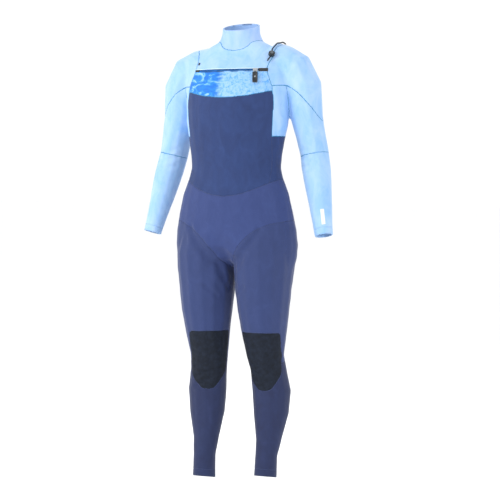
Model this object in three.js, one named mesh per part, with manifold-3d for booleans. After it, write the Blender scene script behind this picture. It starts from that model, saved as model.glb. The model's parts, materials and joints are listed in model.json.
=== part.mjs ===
// A woman's full-length chest-zip wetsuit, filled out as it is when worn, in millimetres.
// +Z is up, the chest faces -Y and the wearer's left side is +X.
// The panels are cut from one hollow neoprene skin along the sewn seams.
// The origin is the middle of the shoulders, where a wearer or a hanger holds the suit up.
import * as THREE from 'three';
import { LoftGeometry } from 'three/addons/geometries/LoftGeometry.js';
import { mergeVertices } from 'three/addons/utils/BufferGeometryUtils.js';
import Module from 'manifold-3d';

const wasm = await Module();
wasm.setup();

// ---------------------------------------------------------------- driving dimensions

// neoprene and seams
const NEOPRENE = 4;             // thickness of the foam rubber sheet
const SEAM_GAP = 0.4;           // width of the butt seam between two panels
const CLEARANCE = 0.3;          // room between hardware and what it sits in

// heights, each measured from the level before it
const HEM_TO_ANKLE = 62;
const ANKLE_TO_CALF = 186;
const CALF_TO_KNEE = 115;
const KNEE_TO_CROTCH = 289;
const CROTCH_TO_HIP = 38;
const HIP_TO_WAIST = 277;
const WAIST_TO_ARMPIT = 121;
const ARMPIT_TO_BUST = 50;
const BUST_TO_ZIP = 108;
const ZIP_TO_SHOULDER = 39;
const SHOULDER_TO_NECK = 67;
const COLLAR_HEIGHT = 48;

// half widths and depths of the body inside the suit
const HIP_HALF_WIDTH = 194;
const HIP_FRONT = 118;
const HIP_BACK = 126;
const WAIST_HALF_WIDTH = 143;
const WAIST_FRONT = 94;
const WAIST_BACK = 86;
const BUST_HALF_WIDTH = 163;
const BUST_FRONT = 120;
const BUST_BACK = 106;
const SHOULDER_HALF_WIDTH = 160;
const NECK_RADIUS = 57;
const NECK_SET_BACK = 43;       // the neck stands behind the middle of the waist

// legs
const LEG_SPREAD = 94;          // middle of a thigh from the middle of the body
const ANKLE_SPREAD = 98;
const KNEE_TURN_IN = 15;        // how far the right knee stands nearer the middle
const CALF_BOW = 9;             // how far the left calf stands out
const SHOULDER_RISE = 22;       // how far the left shoulder is lifted beside the neck
const THIGH_RADIUS = 91;
const KNEE_RADIUS = 58;
const CALF_RADIUS = 60;
const ANKLE_RADIUS = 34;
const STRIDE = 16;              // how far one foot stands behind or before the other
const ANKLE_HEM_WIDTH = 22;

// arms
const SHOULDER_POINT = 186;     // middle of the shoulder cap from the middle of the body
const UPPER_ARM = 242;
const FOREARM = 252;
const ARM_SPREAD_ANGLE = 11.9;  // degrees between a hanging arm and the vertical
const ELBOW_BEND = 13;          // degrees the sleeve is cut forwards at the elbow
const CAP_RADIUS = 63;
const UPPER_ARM_RADIUS = 47;
const ELBOW_RADIUS = 44;
const WRIST_RADIUS = 28;
const WRIST_HEM_WIDTH = 20;

// chest zip
const ZIP_HALF_SPAN = 116;
const ZIP_SLOT_HEIGHT = 8;
const TOOTH_PITCH = 8;
const SLIDER_PLACE = 84;        // the closed slider from the middle of the chest
const SLIDER_LENGTH = 14;
const SLIDER_HEIGHT = 10;
const PULL_TAB_LENGTH = 34;
const PULL_TAB_WIDTH = 15;
const GARAGE_LENGTH = 26;
const END_STOP_LENGTH = 14;

// entry flap and its drawcord
const FLAP_HINGE_RISE = 14;     // the hinge line above the shoulder level
const CORD_DIAMETER = 4;
const LOCK_DIAMETER = 19;
const LOCK_HEIGHT = 11;
const BUTTON_DIAMETER = 10;
const BUTTON_TRAVEL = 2.5;

// knee pads and trims
const KNEE_PAD_ABOVE = 83;
const KNEE_PAD_BELOW = 99;
const KNEE_PAD_HALF_WIDTH = 52;
const KNEE_PAD_LEAN = 7;        // how far the foot of a knee pad stands further out than its top
const KNEE_PAD_TURN = 22;       // degrees the right pad is turned inwards, with its knee
const STORM_FLAP_HEIGHT = 70;
const STORM_FLAP_THICKNESS = 1.5;
const STORM_FLAP_GAP = 2.6;     // between the chest's inside and the storm flap
const LABEL_LENGTH = 46;
const LABEL_WIDTH = 11;

// levels above the ankle hem
const ANKLE = HEM_TO_ANKLE;
const CALF = ANKLE + ANKLE_TO_CALF;
const KNEE = CALF + CALF_TO_KNEE;
const CROTCH = KNEE + KNEE_TO_CROTCH;
const HIP = CROTCH + CROTCH_TO_HIP;
const WAIST = HIP + HIP_TO_WAIST;
const ARMPIT = WAIST + WAIST_TO_ARMPIT;
const BUST = ARMPIT + ARMPIT_TO_BUST;
const ZIP = BUST + BUST_TO_ZIP;
const SHOULDER = ZIP + ZIP_TO_SHOULDER;
const NECK = SHOULDER + SHOULDER_TO_NECK;
const COLLAR = NECK + COLLAR_HEIGHT;

const LEFT = 1;
const RIGHT = -1;
const REACH = 260;              // half depth of a cut that goes right through the body

// ---------------------------------------------------------------- helpers

const vec = (x, y, z) => new THREE.Vector3(x, y, z);
const flat = (x, y) => new THREE.Vector2(x, y);
const radians = THREE.MathUtils.degToRad;

// a closed three.js shape as a solid that can be joined and cut
function solidOf(geometry) {
  const bare = new THREE.BufferGeometry();
  bare.setAttribute('position', geometry.attributes.position);
  bare.setIndex(geometry.index);
  const merged = mergeVertices(bare, 1e-4);
  return new wasm.Manifold(new wasm.Mesh({
    numProp: 3,
    vertProperties: new Float32Array(merged.attributes.position.array),
    triVerts: new Uint32Array(merged.index.array),
  }));
}

function geometryOf(solid) {
  const mesh = solid.getMesh();
  const geometry = new THREE.BufferGeometry();
  geometry.setAttribute('position', new THREE.BufferAttribute(mesh.vertProperties, 3));
  geometry.setIndex(new THREE.BufferAttribute(mesh.triVerts, 1));
  geometry.computeVertexNormals();
  return geometry;
}

const joined = (solids) => solids.reduce((whole, next) => whole.add(next));
const cutBy = (solid, tools) => solid.subtract(joined(tools));

// a box between two corners
function block(low, high) {
  const size = high.clone().sub(low);
  const middle = high.clone().add(low).multiplyScalar(0.5);
  const geometry = new THREE.BoxGeometry(size.x, size.y, size.z);
  return solidOf(geometry.translate(middle.x, middle.y, middle.z));
}

// a thin square plate centred on a point, square to a direction: it parts two panels
function slab(point, direction, halfSize, thickness = SEAM_GAP) {
  const geometry = new THREE.BoxGeometry(2 * halfSize, 2 * halfSize, thickness);
  const turn = new THREE.Quaternion().setFromUnitVectors(vec(0, 0, 1), direction.clone().normalize());
  return solidOf(geometry.applyQuaternion(turn).translate(point.x, point.y, point.z));
}

// all that lies past a point in a direction: it trims an open end
function beyond(point, direction, size) {
  const way = direction.clone().normalize();
  return slab(point.clone().addScaledVector(way, size / 2), way, size / 2, size);
}

// a thin upright ribbon along a seam drawn on a plane, run on a little past both ends
function ribbonShape(points, steps, gap = SEAM_GAP) {
  const curve = new THREE.SplineCurve(points);
  const left = [];
  const right = [];
  for (let step = 0; step <= steps; step += 1) {
    const along = curve.getTangent(step / steps);
    const overrun = gap * (Number(step === steps) - Number(step === 0));
    const at = curve.getPoint(step / steps).addScaledVector(along, overrun);
    const side = flat(-along.y, along.x).multiplyScalar(gap / 2);
    left.push(at.clone().add(side));
    right.unshift(at.clone().sub(side));
  }
  return new THREE.Shape([...left, ...right]);
}

// a seam drawn from the front, points as x and z, cut from one depth to another
function frontSeam(points, fromY = -REACH, toY = REACH, steps = 8) {
  const depth = toY - fromY;
  const options = { depth, bevelEnabled: false };
  const geometry = new THREE.ExtrudeGeometry(ribbonShape(points, steps), options);
  return solidOf(geometry.rotateX(Math.PI / 2).translate(0, toY, 0));
}

// a seam drawn from above, points as x and y, cut from one height to another
function topSeam(points, fromZ, toZ, steps = 10) {
  const depth = toZ - fromZ;
  const options = { depth, bevelEnabled: false };
  const geometry = new THREE.ExtrudeGeometry(ribbonShape(points, steps), options);
  return solidOf(geometry.translate(0, 0, fromZ));
}

const mirrored = (points, side) => points.map((point) => flat(side * point.x, point.y));

// ---------------------------------------------------------------- the body shape

// A station is one section of a limb or the trunk: its middle, half width, and the reach
// of its front and back. A cleft pulls the front and back in towards the middle line.
const station = (x, y, z, wide, front, back, cleft = 0) => ({
  middle: vec(x, y, z),
  size: vec(wide, front, back),
  cleft,
});

const CLEFT_WIDTH = 46;

function ring(middle, size, cleft, tangent, sides) {
  const depthWay = vec(0, 1, 0).addScaledVector(tangent, -tangent.y).normalize();
  const wideWay = depthWay.clone().cross(tangent);
  const points = [];
  for (let side = 0; side < sides; side += 1) {
    const turn = 2 * Math.PI * side / sides;
    const across = size.x * Math.cos(turn);
    const reach = Math.sin(turn) < 0 ? size.y : size.z;
    const narrowing = 1 - cleft * Math.exp(-((across / CLEFT_WIDTH) ** 2));
    points.push(middle.clone()
      .addScaledVector(wideWay, across)
      .addScaledVector(depthWay, reach * Math.sin(turn) * narrowing));
  }
  return points;
}

// the stations joined by a smooth skin; inset draws the same skin smaller
function limb(stations, { sides, rows, inset = 0, upright }) {
  const middles = new THREE.CatmullRomCurve3(stations.map((s) => s.middle), false, 'catmullrom');
  const sizes = new THREE.CatmullRomCurve3(stations.map((s) => s.size), false, 'catmullrom');
  const clefts = new THREE.CatmullRomCurve3(stations.map((s) => vec(s.cleft, 0, 0)), false, 'catmullrom');
  const rings = [];
  for (let row = 0; row <= rows; row += 1) {
    const share = row / rows;
    const tangent = upright ? vec(0, 0, upright) : middles.getTangent(share);
    const size = sizes.getPoint(share).subScalar(inset);
    const cleft = Math.max(0, clefts.getPoint(share).x);
    rings.push(ring(middles.getPoint(share), size, cleft, tangent, sides));
  }
  return solidOf(new LoftGeometry(rings, { capStart: true, capEnd: true }));
}

// raises the first station, so that the inner skin leaves a floor of neoprene at the crotch
function raised(stations, lift) {
  const [first, ...rest] = stations;
  const middle = first.middle.clone().add(vec(0, 0, lift));
  return [{ ...first, middle }, ...rest];
}

const TRUNK = [
  station(0, 4, CROTCH, HIP_HALF_WIDTH - 8, HIP_FRONT - 8, HIP_BACK - 12, 0.8),
  station(0, 3, HIP, HIP_HALF_WIDTH, HIP_FRONT, HIP_BACK, 0.32),
  station(0, 2, HIP + 50, HIP_HALF_WIDTH + 1, HIP_FRONT, HIP_BACK - 2, 0.05),
  station(0, 0, HIP + 110, HIP_HALF_WIDTH - 9, HIP_FRONT - 6, HIP_BACK - 16),
  station(0, 0, WAIST - 95, WAIST_HALF_WIDTH + 27, WAIST_FRONT + 10, WAIST_BACK + 6),
  station(0, 0, WAIST - 35, WAIST_HALF_WIDTH + 4, WAIST_FRONT + 2, WAIST_BACK),
  station(0, 2, WAIST, WAIST_HALF_WIDTH, WAIST_FRONT + 2, WAIST_BACK),
  station(0, 6, WAIST + 55, WAIST_HALF_WIDTH + 7, WAIST_FRONT + 9, WAIST_BACK + 4),
  station(0, 12, ARMPIT, BUST_HALF_WIDTH - 1, BUST_FRONT - 6, BUST_BACK - 4),
  station(0, 14, BUST, BUST_HALF_WIDTH, BUST_FRONT, BUST_BACK),
  station(0, 20, BUST + 52, BUST_HALF_WIDTH + 5, BUST_FRONT - 8, BUST_BACK - 4),
  station(0, NECK_SET_BACK - 15, ZIP, BUST_HALF_WIDTH + 9, BUST_FRONT - 25, BUST_BACK - 14),
  station(0, NECK_SET_BACK - 3, SHOULDER, SHOULDER_HALF_WIDTH, NECK_RADIUS + 15, NECK_RADIUS + 11),
  station(0, NECK_SET_BACK + 1, SHOULDER + 27, SHOULDER_HALF_WIDTH - 34, NECK_RADIUS + 3, NECK_RADIUS + 3),
  station(0, NECK_SET_BACK + 1, SHOULDER + 48, NECK_RADIUS + 23, NECK_RADIUS - 1, NECK_RADIUS - 1),
  station(0, NECK_SET_BACK, NECK, NECK_RADIUS + 3, NECK_RADIUS - 2, NECK_RADIUS - 3),
  station(0, NECK_SET_BACK - 3, COLLAR + 20, NECK_RADIUS - 1, NECK_RADIUS - 2, NECK_RADIUS - 4),
];

// a leg from inside the hips to just past its hem; the feet stand one before the other,
// the right knee turns in and the left calf bows out
function legStations(side) {
  const step = side * STRIDE;
  const kneeOut = side === RIGHT ? -KNEE_TURN_IN : 0;
  const calfOut = side === RIGHT ? 0 : CALF_BOW;
  const leg = (out, y, z, radius, wide, front, back) =>
    station(side * (LEG_SPREAD + out), y, z, radius + wide, radius + front, radius + back);
  return [
    leg(-5, 2, HIP + 80, THIGH_RADIUS, -12, 6, 4),
    leg(0, 0, HIP + 8, THIGH_RADIUS, 1, 20, 24),
    leg(0, -2, CROTCH, THIGH_RADIUS, 0, 16, 18),
    leg(-1, -5, CROTCH - 54, THIGH_RADIUS, -5, 7, 6),
    leg(-1, -8, CROTCH - 114, THIGH_RADIUS, -11, 0, -4),
    leg(0.3 * kneeOut, -9 + 0.3 * step, KNEE + 107, KNEE_RADIUS, 14, 20, 16),
    leg(2 + 0.8 * kneeOut, -9 + 0.5 * step, KNEE + 37, KNEE_RADIUS, 2, 5, 3),
    leg(3 + kneeOut, -6 + 0.6 * step, KNEE, KNEE_RADIUS, -1, 1, 0),
    leg(4 + 0.5 * kneeOut + calfOut, 4 + 0.7 * step, KNEE - 53, CALF_RADIUS, -4, -5, -2),
    leg(4 + calfOut, 13 + 0.8 * step, CALF, CALF_RADIUS, 0, -5, 4),
    leg(3 + 0.8 * calfOut, 12 + 0.9 * step, ANKLE + 118, CALF_RADIUS, -8, -14, -8),
    leg(3 + 0.2 * calfOut, 4 + step, ANKLE + 46, ANKLE_RADIUS, 4, 3, 4),
    leg(4 - 0.4 * calfOut, -5 + step, ANKLE, ANKLE_RADIUS, 0, 1, 1),
    leg(4 - 0.6 * calfOut, -12 + step, -24, ANKLE_RADIUS, 2, 3, 5),
  ];
}

const SHOULDER_DEPTH = NECK_SET_BACK + 6;
const shoulderCentre = (side) => vec(side * SHOULDER_POINT, SHOULDER_DEPTH, SHOULDER - 57);

// the ways that the upper sleeve and the forearm hang
const ARM_OUT = Math.sin(radians(ARM_SPREAD_ANGLE));
const upperArmWay = (side) => vec(side * ARM_OUT, 0.03, -1).normalize();
const forearmWay = (side) => vec(side * ARM_OUT, -Math.tan(radians(ELBOW_BEND)), -1).normalize();

const elbowCentre = (side) => shoulderCentre(side).addScaledVector(upperArmWay(side), UPPER_ARM);
const wristCentre = (side) => elbowCentre(side).addScaledVector(forearmWay(side), FOREARM);

function armStations(side) {
  const cap = shoulderCentre(side);
  const elbow = elbowCentre(side);
  const wrist = wristCentre(side);
  const above = (share) => cap.clone().lerp(elbow, share);
  const below = (share) => elbow.clone().lerp(wrist, share);
  const at = (middle, wide, deep) => ({ middle, size: vec(wide, deep, deep), cleft: 0 });
  const rise = side === LEFT ? SHOULDER_RISE : SHOULDER_RISE / 3;
  const root = vec(side * (SHOULDER_POINT - 92), SHOULDER_DEPTH - 6, SHOULDER - 18 + rise);
  const halfway = vec(side * (SHOULDER_POINT - 46), SHOULDER_DEPTH - 3, SHOULDER - 30 + rise / 2);
  return [
    at(root, CAP_RADIUS - 13, CAP_RADIUS - 15),
    at(halfway, CAP_RADIUS - 5, CAP_RADIUS - 4),
    at(cap, CAP_RADIUS, CAP_RADIUS),
    at(above(0.24).add(vec(side * 5, 0, 0)), UPPER_ARM_RADIUS + 8, UPPER_ARM_RADIUS + 11),
    at(above(0.46), UPPER_ARM_RADIUS + 3, UPPER_ARM_RADIUS + 6),
    at(above(0.73), UPPER_ARM_RADIUS - 1, UPPER_ARM_RADIUS + 1),
    at(elbow, ELBOW_RADIUS, ELBOW_RADIUS + 2),
    at(below(0.25), ELBOW_RADIUS, ELBOW_RADIUS - 1),
    at(below(0.5), ELBOW_RADIUS - 6, ELBOW_RADIUS - 5),
    at(below(0.76), WRIST_RADIUS + 4, WRIST_RADIUS + 3),
    at(wrist, WRIST_RADIUS, WRIST_RADIUS - 2),
    at(below(1.1), WRIST_RADIUS, WRIST_RADIUS - 2),
  ];
}

const TRUNK_LOFT = { sides: 24, rows: 20, upright: 1 };
const LEG_LOFT = { sides: 14, rows: 12, upright: -1 };
const ARM_LOFT = { sides: 12, rows: 13 };

// the whole body as one solid, shrunk by inset
function bodySolid(inset) {
  const parts = [limb(raised(TRUNK, inset), { ...TRUNK_LOFT, inset })];
  for (const side of [LEFT, RIGHT]) {
    parts.push(limb(legStations(side), { ...LEG_LOFT, inset }));
    parts.push(limb(armStations(side), { ...ARM_LOFT, inset }));
  }
  return joined(parts);
}

const outerBody = bodySolid(0);
const innerBody = bodySolid(NEOPRENE);

// ---------------------------------------------------------------- open ends

const COLLAR_SLOPE = vec(0, -0.28, 1);
const collarRim = vec(0, NECK_SET_BACK, COLLAR - 16);
const ANKLE_HEM_SLOPE = vec(0, -0.22, -1);
const ankleHem = (side) => vec(side * ANKLE_SPREAD, -9 + side * STRIDE, side * 4);

const openEnds = [beyond(collarRim, COLLAR_SLOPE, 160)];
for (const side of [LEFT, RIGHT]) {
  openEnds.push(beyond(ankleHem(side), ANKLE_HEM_SLOPE, 120));
  openEnds.push(beyond(wristCentre(side), forearmWay(side), 120));
}

// ---------------------------------------------------------------- the zip's arc

// where a straight line from outside first meets the skin
const seenBothWays = new THREE.MeshBasicMaterial({ side: THREE.DoubleSide });
const outerMesh = new THREE.Mesh(geometryOf(outerBody), seenBothWays);
function skinHit(origin, direction) {
  const hit = new THREE.Raycaster(origin, direction.clone().normalize()).intersectObject(outerMesh)[0];
  return { point: hit.point, normal: hit.face.normal.clone() };
}
const skinFromFront = (x, z) => skinHit(vec(x, -2 * REACH, z), vec(0, 1, 0));
const skinFromAbove = (x, y) => skinHit(vec(x, y, COLLAR + REACH), vec(0, 0, -1));

// the zip lies on the circle through its two ends and the middle of the chest
const chestMiddle = skinFromFront(0, ZIP).point;
const chestEnd = skinFromFront(ZIP_HALF_SPAN, ZIP).point;
const ZIP_SAG = chestEnd.y - chestMiddle.y;
const ZIP_RADIUS = (ZIP_HALF_SPAN ** 2 + ZIP_SAG ** 2) / (2 * ZIP_SAG);
const ZIP_CENTRE_Y = chestMiddle.y + ZIP_RADIUS;
const zipAngle = (x) => Math.asin(x / ZIP_RADIUS);

// a point on the zip: angle along it, outwards from its circle, and up from its middle
const zipPoint = (angle, outwards, up) => vec(
  (ZIP_RADIUS + outwards) * Math.sin(angle),
  ZIP_CENTRE_Y - (ZIP_RADIUS + outwards) * Math.cos(angle),
  ZIP + up,
);

// a curved bar along the zip with a rectangular section
function zipBar(fromX, toX, inner, outer, low, high, steps = 16) {
  const rings = [];
  for (let step = 0; step <= steps; step += 1) {
    const angle = THREE.MathUtils.lerp(zipAngle(fromX), zipAngle(toX), step / steps);
    rings.push([
      zipPoint(angle, inner, low),
      zipPoint(angle, inner, high),
      zipPoint(angle, outer, high),
      zipPoint(angle, outer, low),
    ]);
  }
  return solidOf(new LoftGeometry(rings, { capStart: true, capEnd: true }));
}

const SLOT_REACH = ZIP_HALF_SPAN + 6;
const SLOT_DEPTH = 14;
const zipSlot = zipBar(
  -SLOT_REACH, SLOT_REACH, -SLOT_DEPTH, SLOT_DEPTH, -ZIP_SLOT_HEIGHT / 2, ZIP_SLOT_HEIGHT / 2);

// ---------------------------------------------------------------- seams

const HINGE_LEVEL = SHOULDER + FLAP_HINGE_RISE;
const FRONT_TOP = BUST + 46;          // top of the navy front at its corners
const FRONT_TOP_DIP = 20;
const FRONT_HALF_WIDTH = 136;
const SIDE_PANEL_FOOT = ARMPIT - 40;
const SLEEVE_SEAM = BUST + 60;        // the level where sleeve, side and shoulder meet
const ARMHOLE = BUST_HALF_WIDTH + 2;
const WAIST_SEAM_SIDES = WAIST - 60;
const WAIST_SEAM_DIP = 39;
const LEG_LINE_TOP = HIP + 112;
const COLLAR_SEAM_SIDES = NECK - 12;
const COLLAR_SEAM_DIP = 32;

// a seam that is the same on both sides: its points from the middle line outwards
const bothSides = (points) => [
  ...mirrored(points, RIGHT).reverse(), ...points.filter((point) => point.x > 0),
];

// corners where seams meet
const frontCorner = flat(FRONT_HALF_WIDTH, FRONT_TOP);
const waistCorner = flat(FRONT_HALF_WIDTH - 6, WAIST_SEAM_SIDES);
const sideFootCorner = flat(FRONT_HALF_WIDTH - 2, SIDE_PANEL_FOOT);
const shoulderCorner = flat(FRONT_HALF_WIDTH - 2, SLEEVE_SEAM);
const armholeCorner = flat(ARMHOLE, SLEEVE_SEAM + 3);
const zipCorner = flat(ZIP_HALF_SPAN, ZIP);

// the collar seam ends at the side of the neck with the same three points front and back
const collarSides = [
  flat(NECK_RADIUS - 7, COLLAR_SEAM_SIDES - 8),
  flat(NECK_RADIUS + 5, COLLAR_SEAM_SIDES - 2),
  flat(NECK_RADIUS + 31, COLLAR_SEAM_SIDES + 4),
];

// the V line where leg panels meet the hips
const legLine = (side) => mirrored([
  flat(-1, CROTCH - 14),
  flat(22, CROTCH + 26),
  flat(58, HIP + 40),
  flat(120, HIP + 88),
  flat(HIP_HALF_WIDTH + 30, LEG_LINE_TOP),
], side);

// the edge of the entry flap seen from above, from the end of the zip over the shoulder
const flapEdge = (side, inwards = 0) => mirrored([
  flat(ZIP_HALF_SPAN - inwards, chestEnd.y - 4),
  flat(ZIP_HALF_SPAN + 1 - inwards, chestEnd.y + 16),
  flat(ZIP_HALF_SPAN + 9 - inwards, NECK_SET_BACK - 38),
  flat(ZIP_HALF_SPAN + 21 - inwards, NECK_SET_BACK - 10),
  flat(ZIP_HALF_SPAN + 26 - inwards, NECK_SET_BACK + 16),
  flat(ZIP_HALF_SPAN + 26 - inwards, NECK_SET_BACK + 46),
], side);

// the short edge that carries on from it behind the shoulder, above the level of the hinge
const flapBackEdge = (side) => mirrored([
  flat(ZIP_HALF_SPAN + 26, NECK_SET_BACK + 44), flat(ZIP_HALF_SPAN + 26, NECK_SET_BACK + 90),
], side);

function middleSeams() {
  return [
    // collar seam, lowest at the throat
    frontSeam(bothSides([
      flat(0, COLLAR_SEAM_SIDES - COLLAR_SEAM_DIP), flat(34, COLLAR_SEAM_SIDES - 0.8 * COLLAR_SEAM_DIP),
      ...collarSides,
    ]), -REACH, NECK_SET_BACK, 16),
    frontSeam(bothSides([flat(0, COLLAR_SEAM_SIDES + 4), ...collarSides]), NECK_SET_BACK, REACH, 12),
    // top of the navy front, and the same line across the back
    frontSeam(bothSides([
      flat(0, FRONT_TOP - FRONT_TOP_DIP), flat(72, FRONT_TOP - 0.72 * FRONT_TOP_DIP), frontCorner,
    ])),
    // waist seam, low in the middle and high at the sides
    frontSeam(bothSides([
      flat(0, WAIST_SEAM_SIDES - WAIST_SEAM_DIP), flat(62, WAIST_SEAM_SIDES - 0.75 * WAIST_SEAM_DIP),
      waistCorner, flat(WAIST_HALF_WIDTH + 30, WAIST_SEAM_SIDES + 24),
    ]), -REACH, REACH, 12),
    // the level line where the entry flap hangs on the back
    block(
      vec(-ZIP_HALF_SPAN - 28, NECK_SET_BACK + 8, HINGE_LEVEL - SEAM_GAP / 2),
      vec(ZIP_HALF_SPAN + 28, NECK_SET_BACK + 110, HINGE_LEVEL + SEAM_GAP / 2),
    ),
    // the seam under the crotch
    block(vec(-30, 4 - SEAM_GAP / 2, CROTCH - 12), vec(30, 4 + SEAM_GAP / 2, CROTCH + 24)),
  ];
}

function sideSeams(side) {
  const line = (points, ...rest) => frontSeam(mirrored(points, side), ...rest);
  const straight = (from, to) => line([from, to], -REACH, REACH, 1);
  const knee = legStations(side)[7].middle;
  const hem = ankleHem(side);
  return [
    topSeam(flapEdge(side), ZIP, NECK - 6, 10),
    topSeam(flapBackEdge(side), HINGE_LEVEL, NECK - 6, 1),
    // side edge of the front and back, from the waist seam up to the shoulder panel
    line([
      waistCorner, sideFootCorner, flat(FRONT_HALF_WIDTH + 4, BUST), frontCorner, shoulderCorner,
    ]),
    // side edge of the chest panel, then the raglan line of the back
    straight(shoulderCorner, zipCorner),
    line([zipCorner, flat(ZIP_HALF_SPAN - 20, HINGE_LEVEL)], NECK_SET_BACK + 10, REACH, 1),
    // foot and top of the light side panel
    straight(sideFootCorner, flat(BUST_HALF_WIDTH + 8, SIDE_PANEL_FOOT)),
    straight(shoulderCorner, armholeCorner),
    // raglan line across the arm, and the armhole down to the armpit
    line([
      armholeCorner, flat(ARMHOLE + 35, SLEEVE_SEAM - 18), flat(SHOULDER_POINT + 49, SLEEVE_SEAM - 57),
      flat(SHOULDER_POINT + 72, SLEEVE_SEAM - 97), flat(SHOULDER_POINT + 96, SLEEVE_SEAM - 150),
    ]),
    straight(armholeCorner, flat(ARMHOLE, ARMPIT - 22)),
    slab(elbowCentre(side), forearmWay(side).add(upperArmWay(side)), 62),
    slab(wristCentre(side).addScaledVector(forearmWay(side), -WRIST_HEM_WIDTH), forearmWay(side), 45),
    line(legLine(LEFT), -REACH, REACH, 10),
    // side seam of the hips
    block(
      vec(side > 0 ? 60 : -HIP_HALF_WIDTH - 20, -SEAM_GAP / 2, LEG_LINE_TOP - 12),
      vec(side > 0 ? HIP_HALF_WIDTH + 20 : -60, SEAM_GAP / 2, WAIST_SEAM_SIDES + 20),
    ),
    slab(knee, vec(0, 0, 1), 82).subtract(kneePadBlock(knee, 0)),
    kneePadBlock(knee, SEAM_GAP / 2).subtract(kneePadBlock(knee, -SEAM_GAP / 2)),
    slab(vec(hem.x, hem.y, hem.z + ANKLE_HEM_WIDTH), ANKLE_HEM_SLOPE, 60),
  ];
}

// the outline of a knee pad seen from the front: flat above, round below
function kneePadShape(knee, grow) {
  const top = knee.z + KNEE_PAD_ABOVE + grow;
  const foot = knee.z - KNEE_PAD_BELOW - grow;
  const half = KNEE_PAD_HALF_WIDTH + grow;
  const shape = new THREE.Shape();
  shape.moveTo(knee.x - half, top - 2);
  shape.lineTo(knee.x, top);
  shape.lineTo(knee.x + half, top - 2);
  const low = knee.x + Math.sign(knee.x) * KNEE_PAD_LEAN;
  shape.bezierCurveTo(knee.x + half - 6, knee.z, low + half - 4, foot + 34, low + 24, foot + 5);
  shape.quadraticCurveTo(low, foot - 4, low - 24, foot + 5);
  shape.bezierCurveTo(low - half + 4, foot + 34, knee.x - half + 6, knee.z, knee.x - half, top - 2);
  return shape;
}

function kneePadBlock(knee, grow) {
  const options = { depth: 120, bevelEnabled: false, curveSegments: 6 };
  const geometry = new THREE.ExtrudeGeometry(kneePadShape(knee, grow), options);
  const turn = knee.x < 0 ? radians(KNEE_PAD_TURN) : 0;
  const block = geometry.rotateX(Math.PI / 2).translate(-knee.x, 0, 0).rotateZ(turn);
  return solidOf(block.translate(knee.x, knee.y, 0));
}

// ---------------------------------------------------------------- panels cut from the skin

const seams = [...middleSeams(), ...sideSeams(LEFT), ...sideSeams(RIGHT)];
const skin = cutBy(outerBody.subtract(innerBody), [...openEnds, zipSlot, ...seams]);
const pieces = skin.decompose().map((solid) => ({ solid, geometry: geometryOf(solid) }));

// how far a point is from the nearest face of a piece
function gapTo(point, geometry) {
  const place = geometry.attributes.position;
  const triangle = new THREE.Triangle();
  const nearest = vec(0, 0, 0);
  let gap = Infinity;
  for (let corner = 0; corner < geometry.index.count; corner += 3) {
    triangle.setFromAttributeAndIndices(
      place, geometry.index.getX(corner), geometry.index.getX(corner + 1), geometry.index.getX(corner + 2));
    triangle.closestPointToPoint(point, nearest);
    gap = Math.min(gap, nearest.distanceTo(point));
  }
  return gap;
}

// the piece of skin that lies nearest to a point
function pieceAt(point) {
  let best = pieces[0];
  let bestGap = Infinity;
  for (const piece of pieces) {
    const gap = gapTo(point, piece.geometry);
    if (gap < bestGap) {
      best = piece;
      bestGap = gap;
    }
  }
  return best;
}

const skinFromBack = (x, z) => skinHit(vec(x, 2 * REACH, z), vec(0, -1, 0));

// ---------------------------------------------------------------- materials and nodes

const group = new THREE.Group();
group.position.set(0, -NECK_SET_BACK, -SHOULDER);

const finish = (color, roughness, metalness = 0) => ({ color, roughness, metalness });
const SKY = finish('#bcdffc', 0.75);
const SKY_DEEP = finish('#64b4f2', 0.75);
const PRINT = finish('#5fb6f6', 0.7);
const NAVY = finish('#43528a', 0.8);
const CHARCOAL = finish('#343a46', 0.6);
const BLACK = finish('#1b1f24', 0.5);
const GREY_METAL = finish('#8b9096', 0.35, 1);
const STEEL = finish('#b9bcc0', 0.3, 1);
const WHITE = finish('#f3f6fa', 0.6);

function addNode(name, geometry, look) {
  const mesh = new THREE.Mesh(geometry, new THREE.MeshStandardMaterial(look));
  mesh.name = name;
  group.add(mesh);
}
const addSolid = (name, solid, look) => addNode(name, geometryOf(solid), look);

function addPanel(name, seed, look) {
  addNode(name, pieceAt(seed).geometry, look);
}

const sideName = (side) => (side === LEFT ? 'left' : 'right');

function addMiddlePanels() {
  addPanel('neck_collar', skinFromFront(0, NECK).point, SKY);
  addPanel('entry_flap', skinFromFront(0, ZIP + 30).point, SKY);
  addPanel('chest_panel', skinFromFront(0, ZIP - 40).point, PRINT);
  addPanel('front_body_panel', skinFromFront(0, WAIST).point, NAVY);
  addPanel('hip_front_panel', skinFromFront(0, HIP + 110).point, NAVY);
  addPanel('upper_back_panel', skinFromBack(0, ZIP).point, SKY);
  addPanel('back_body_panel', skinFromBack(0, WAIST).point, NAVY);
  addPanel('seat_panel', skinFromBack(0, HIP + 110).point, NAVY);
}

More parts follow.
